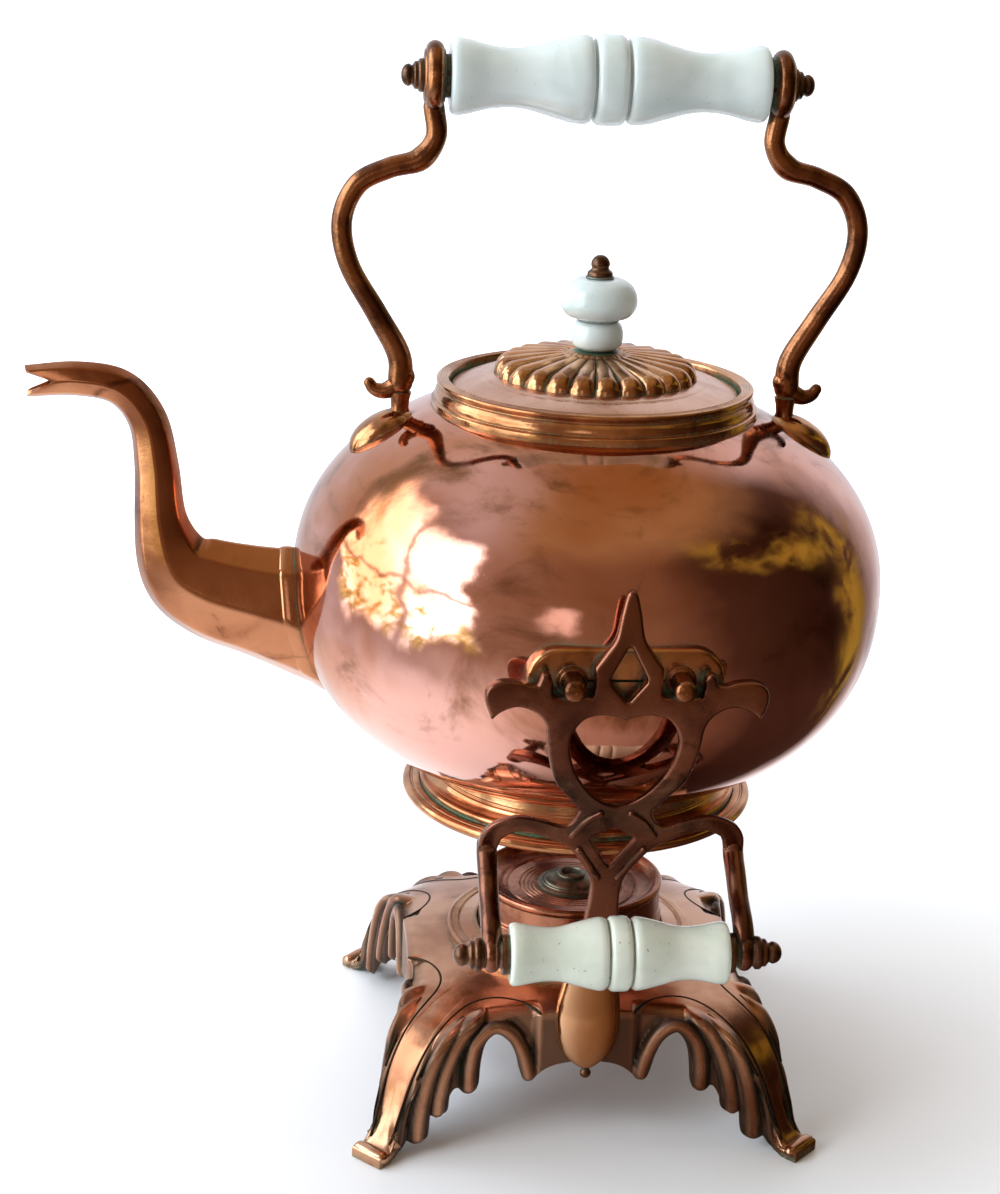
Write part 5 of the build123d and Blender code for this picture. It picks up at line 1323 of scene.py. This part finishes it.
def room_group():
    """What the polish mirrors, by compass turn and rise in degrees: a pale wall behind, a barred
    window with leaves outside on the left, a dim room in front, a dark corner on the right with
    green-gold glints, a warm ceiling, and a white cloth below that falls into shade on the right."""
    tree, n, given = new_group("Room", [("Direction", (0, 0, 0, 1))], [("Color", "NodeSocketColor")])
    x, y, z = n.add("ShaderNodeSeparateXYZ", [(0, given["Direction"])]).outputs
    ripple = n.math("MULTIPLY", n.math("SUBTRACT", n.noise(given["Direction"], 4.0, 3.0, 0.5), 0.5), 16.0)
    bearing = n.math("ARCTAN2", x, n.math("MULTIPLY", y, -1.0))
    turn = n.math("ADD", n.math("MULTIPLY", bearing, TO_DEGREES), ripple)
    rise = n.math("ADD", n.math("MULTIPLY", n.math("ARCSINE", z), TO_DEGREES), ripple)

    def ramp(stops):
        """Colour by turn, from stops of (degrees, colour)."""
        node = n.add("ShaderNodeValToRGB", [(0, n.math("DIVIDE", n.math("ADD", turn, 180.0), 360.0))])
        marks = node.color_ramp.elements
        marks.remove(marks[1])
        marks[0].position, marks[0].color = (stops[0][0] + 180) / 360, (*stops[0][1], 1)
        for place, tone in stops[1:]:
            marks.new((place + 180) / 360).color = (*tone, 1)
        return node.outputs[0]

    def band(value, low, high, soft):
        """1 between two values, with soft ends."""
        return n.math("SUBTRACT", n.step(value, low - soft, low + soft),
                      n.step(value, high - soft, high + soft))

    # the walls round the room, then the cloth below, each by turn
    wall = ramp([(-180, (0.86, 0.90, 1.0)), (-142, (0.84, 0.92, 1.02)), (-116, (0.62, 0.60, 0.66)),
                 (-50, (0.44, 0.33, 0.25)), (-20, (0.30, 0.19, 0.11)), (20, (0.24, 0.14, 0.075)),
                 (48, (0.07, 0.034, 0.019)), (95, (0.03, 0.014, 0.009)), (120, (0.10, 0.065, 0.052)),
                 (143, (0.85, 0.86, 0.92)), (180, (0.86, 0.90, 1.0))])
    cloth = ramp([(-180, (0.90, 0.93, 1.0)), (-115, (0.98, 1.0, 1.02)), (-40, (0.90, 0.90, 0.92)),
                  (-5, (0.46, 0.36, 0.31)), (35, (0.17, 0.095, 0.06)), (60, (0.055, 0.027, 0.018)),
                  (114, (0.06, 0.032, 0.024)), (134, (0.84, 0.85, 0.90)), (180, (0.90, 0.93, 1.0))])
    aside = n.math("SUBTRACT", n.math("MULTIPLY", y, 0.5), n.math("MULTIPLY", x, 0.9))
    ceiling = n.mix(n.step(aside, 0.05, 0.65), (0.44, 0.31, 0.15, 1), (0.84, 0.90, 1.03, 1))
    room = n.mix(n.step(rise, 40.0, 66.0), wall, ceiling)
    room = n.mix(n.step(rise, -12.0, -28.0), room, cloth)
    slant = n.math("ADD", turn, n.math("MULTIPLY", rise, 0.35))
    panes = n.math("MULTIPLY", band(slant, -116.0, -47.0, 3.0), band(rise, -12.0, 44.0, 4.0))
    for bar in (band(slant, -82.0, -78.0, 1.5), band(rise, 11.0, 13.0, 1.2)):
        panes = n.math("MULTIPLY", panes, n.math("SUBTRACT", 1.0, n.math("MULTIPLY", bar, 0.85)))
    leafy = n.math("ADD", n.noise(given["Direction"], 7.0, 5.0, 0.65, 0.8), n.math("MULTIPLY", rise, -0.006))
    outside = n.mix(n.step(leafy, 0.46, 0.60), (4.2, 4.7, 5.0, 1), (1.3, 1.35, 0.42, 1))
    outside = n.mix(n.step(leafy, 0.60, 0.70), outside, (0.50, 0.44, 0.28, 1))
    room = n.mix(panes, room, outside)
    sparkle = n.math("MULTIPLY", band(turn, -24.0, -10.0, 3.0), band(rise, 2.0, 16.0, 3.0))
    room = n.mix(n.math("MULTIPLY", sparkle, 0.7), room, (1.7, 1.5, 1.4, 1))
    arc = n.math("SUBTRACT", rise, n.math("MULTIPLY", turn, -0.55))
    glint = n.math("MULTIPLY", band(turn, 50.0, 126.0, 8.0), band(arc, 70.0, 84.0, 7.0))
    rim = n.math("MULTIPLY", band(turn, 104.0, 122.0, 6.0), band(rise, -34.0, 30.0, 8.0))
    broken = n.step(n.noise(given["Direction"], 4.0, 4.0, 0.6, 0.6), 0.40, 0.62)
    glint = n.math("MULTIPLY", n.math("MAXIMUM", glint, rim), broken)
    room = n.mix(glint, room, (0.44, 0.38, 0.06, 1))
    n.add("NodeGroupOutput", [("Color", room)])
    return tree


ROOM = room_group()


def soft_light(name, width, height, centre, strength, tint=(1, 1, 1)):
    """A rectangular light aimed at the middle of the object, which polish doesn't mirror."""
    light = bpy.data.lights.new(name, "AREA")
    light.shape = "RECTANGLE"
    light.size, light.size_y = width, height
    light.energy = strength
    light.color = tint
    obj = bpy.data.objects.new(name, light)
    obj.location = centre
    obj.rotation_mode = "QUATERNION"
    obj.rotation_quaternion = (Vector(OBJECT_MIDDLE) - Vector(centre)).to_track_quat("-Z", "Y")
    obj.visible_glossy = False
    bpy.context.scene.collection.objects.link(obj)


corners = [(-FLOOR_HALF, -FLOOR_HALF, 0), (FLOOR_HALF, -FLOOR_HALF, 0), (FLOOR_HALF, FLOOR_HALF, 0),
           (-FLOOR_HALF, FLOOR_HALF, 0)]
mesh = bpy.data.meshes.new("floor")
mesh.from_pydata(corners, [], [(0, 1, 2, 3)])
mesh.materials.append(floor_material())
floor = bpy.data.objects.new("floor", mesh)
bpy.context.scene.collection.objects.link(floor)

soft_light("key", 0.8, 1.0, (-1.35, -0.7, 1.0), 12.0, (0.95, 0.97, 1.0))
soft_light("fill", 0.25, 0.9, (1.6, -0.2, 0.9), 2.5, (1.0, 0.95, 0.88))
soft_light("overhead", 1.3, 1.3, (-0.2, 0.6, 1.8), 13.0)
soft_light("back", 1.4, 0.7, (0.3, 1.6, 0.9), 6.0)

world = bpy.data.worlds.new("Studio")
bpy.context.scene.world = world
world.use_nodes = True
n = Nodes(world.node_tree)
background = world.node_tree.nodes["Background"]
room = n.add("ShaderNodeGroup", [("Direction", n.add("ShaderNodeTexCoord").outputs["Generated"])],
             node_tree=ROOM).outputs[0]
seen = n.add("ShaderNodeLightPath").outputs["Is Camera Ray"]
n.tree.links.new(n.mix(seen, room, (1, 1, 1, 1)), background.inputs["Color"])
background.inputs["Strength"].default_value = 1.0

YAW, PITCH, ROLL = 0.098, 0.311, 0.037
CAMERA_AT = (-0.1096, -0.8026, 0.4432)
forward = Vector((np.sin(YAW) * np.cos(PITCH), np.cos(YAW) * np.cos(PITCH), -np.sin(PITCH)))
right = Vector((np.cos(YAW), -np.sin(YAW), 0.0))
up = right.cross(forward)
turned_right = np.cos(ROLL) * right + np.sin(ROLL) * up
turned_up = -np.sin(ROLL) * right + np.cos(ROLL) * up
camera = bpy.data.objects.new("camera", bpy.data.cameras.new("camera"))
camera.data.sensor_fit = "HORIZONTAL"
camera.data.sensor_width = 36.0
camera.data.lens = 84.53
camera.data.clip_start, camera.data.clip_end = 0.05, 50.0
basis = Matrix((turned_right, turned_up, -forward)).transposed()
camera.matrix_world = Matrix.Translation(CAMERA_AT) @ basis.to_4x4()
bpy.context.scene.collection.objects.link(camera)
bpy.context.scene.camera = camera
bpy.context.scene.view_settings.view_transform = "Standard"
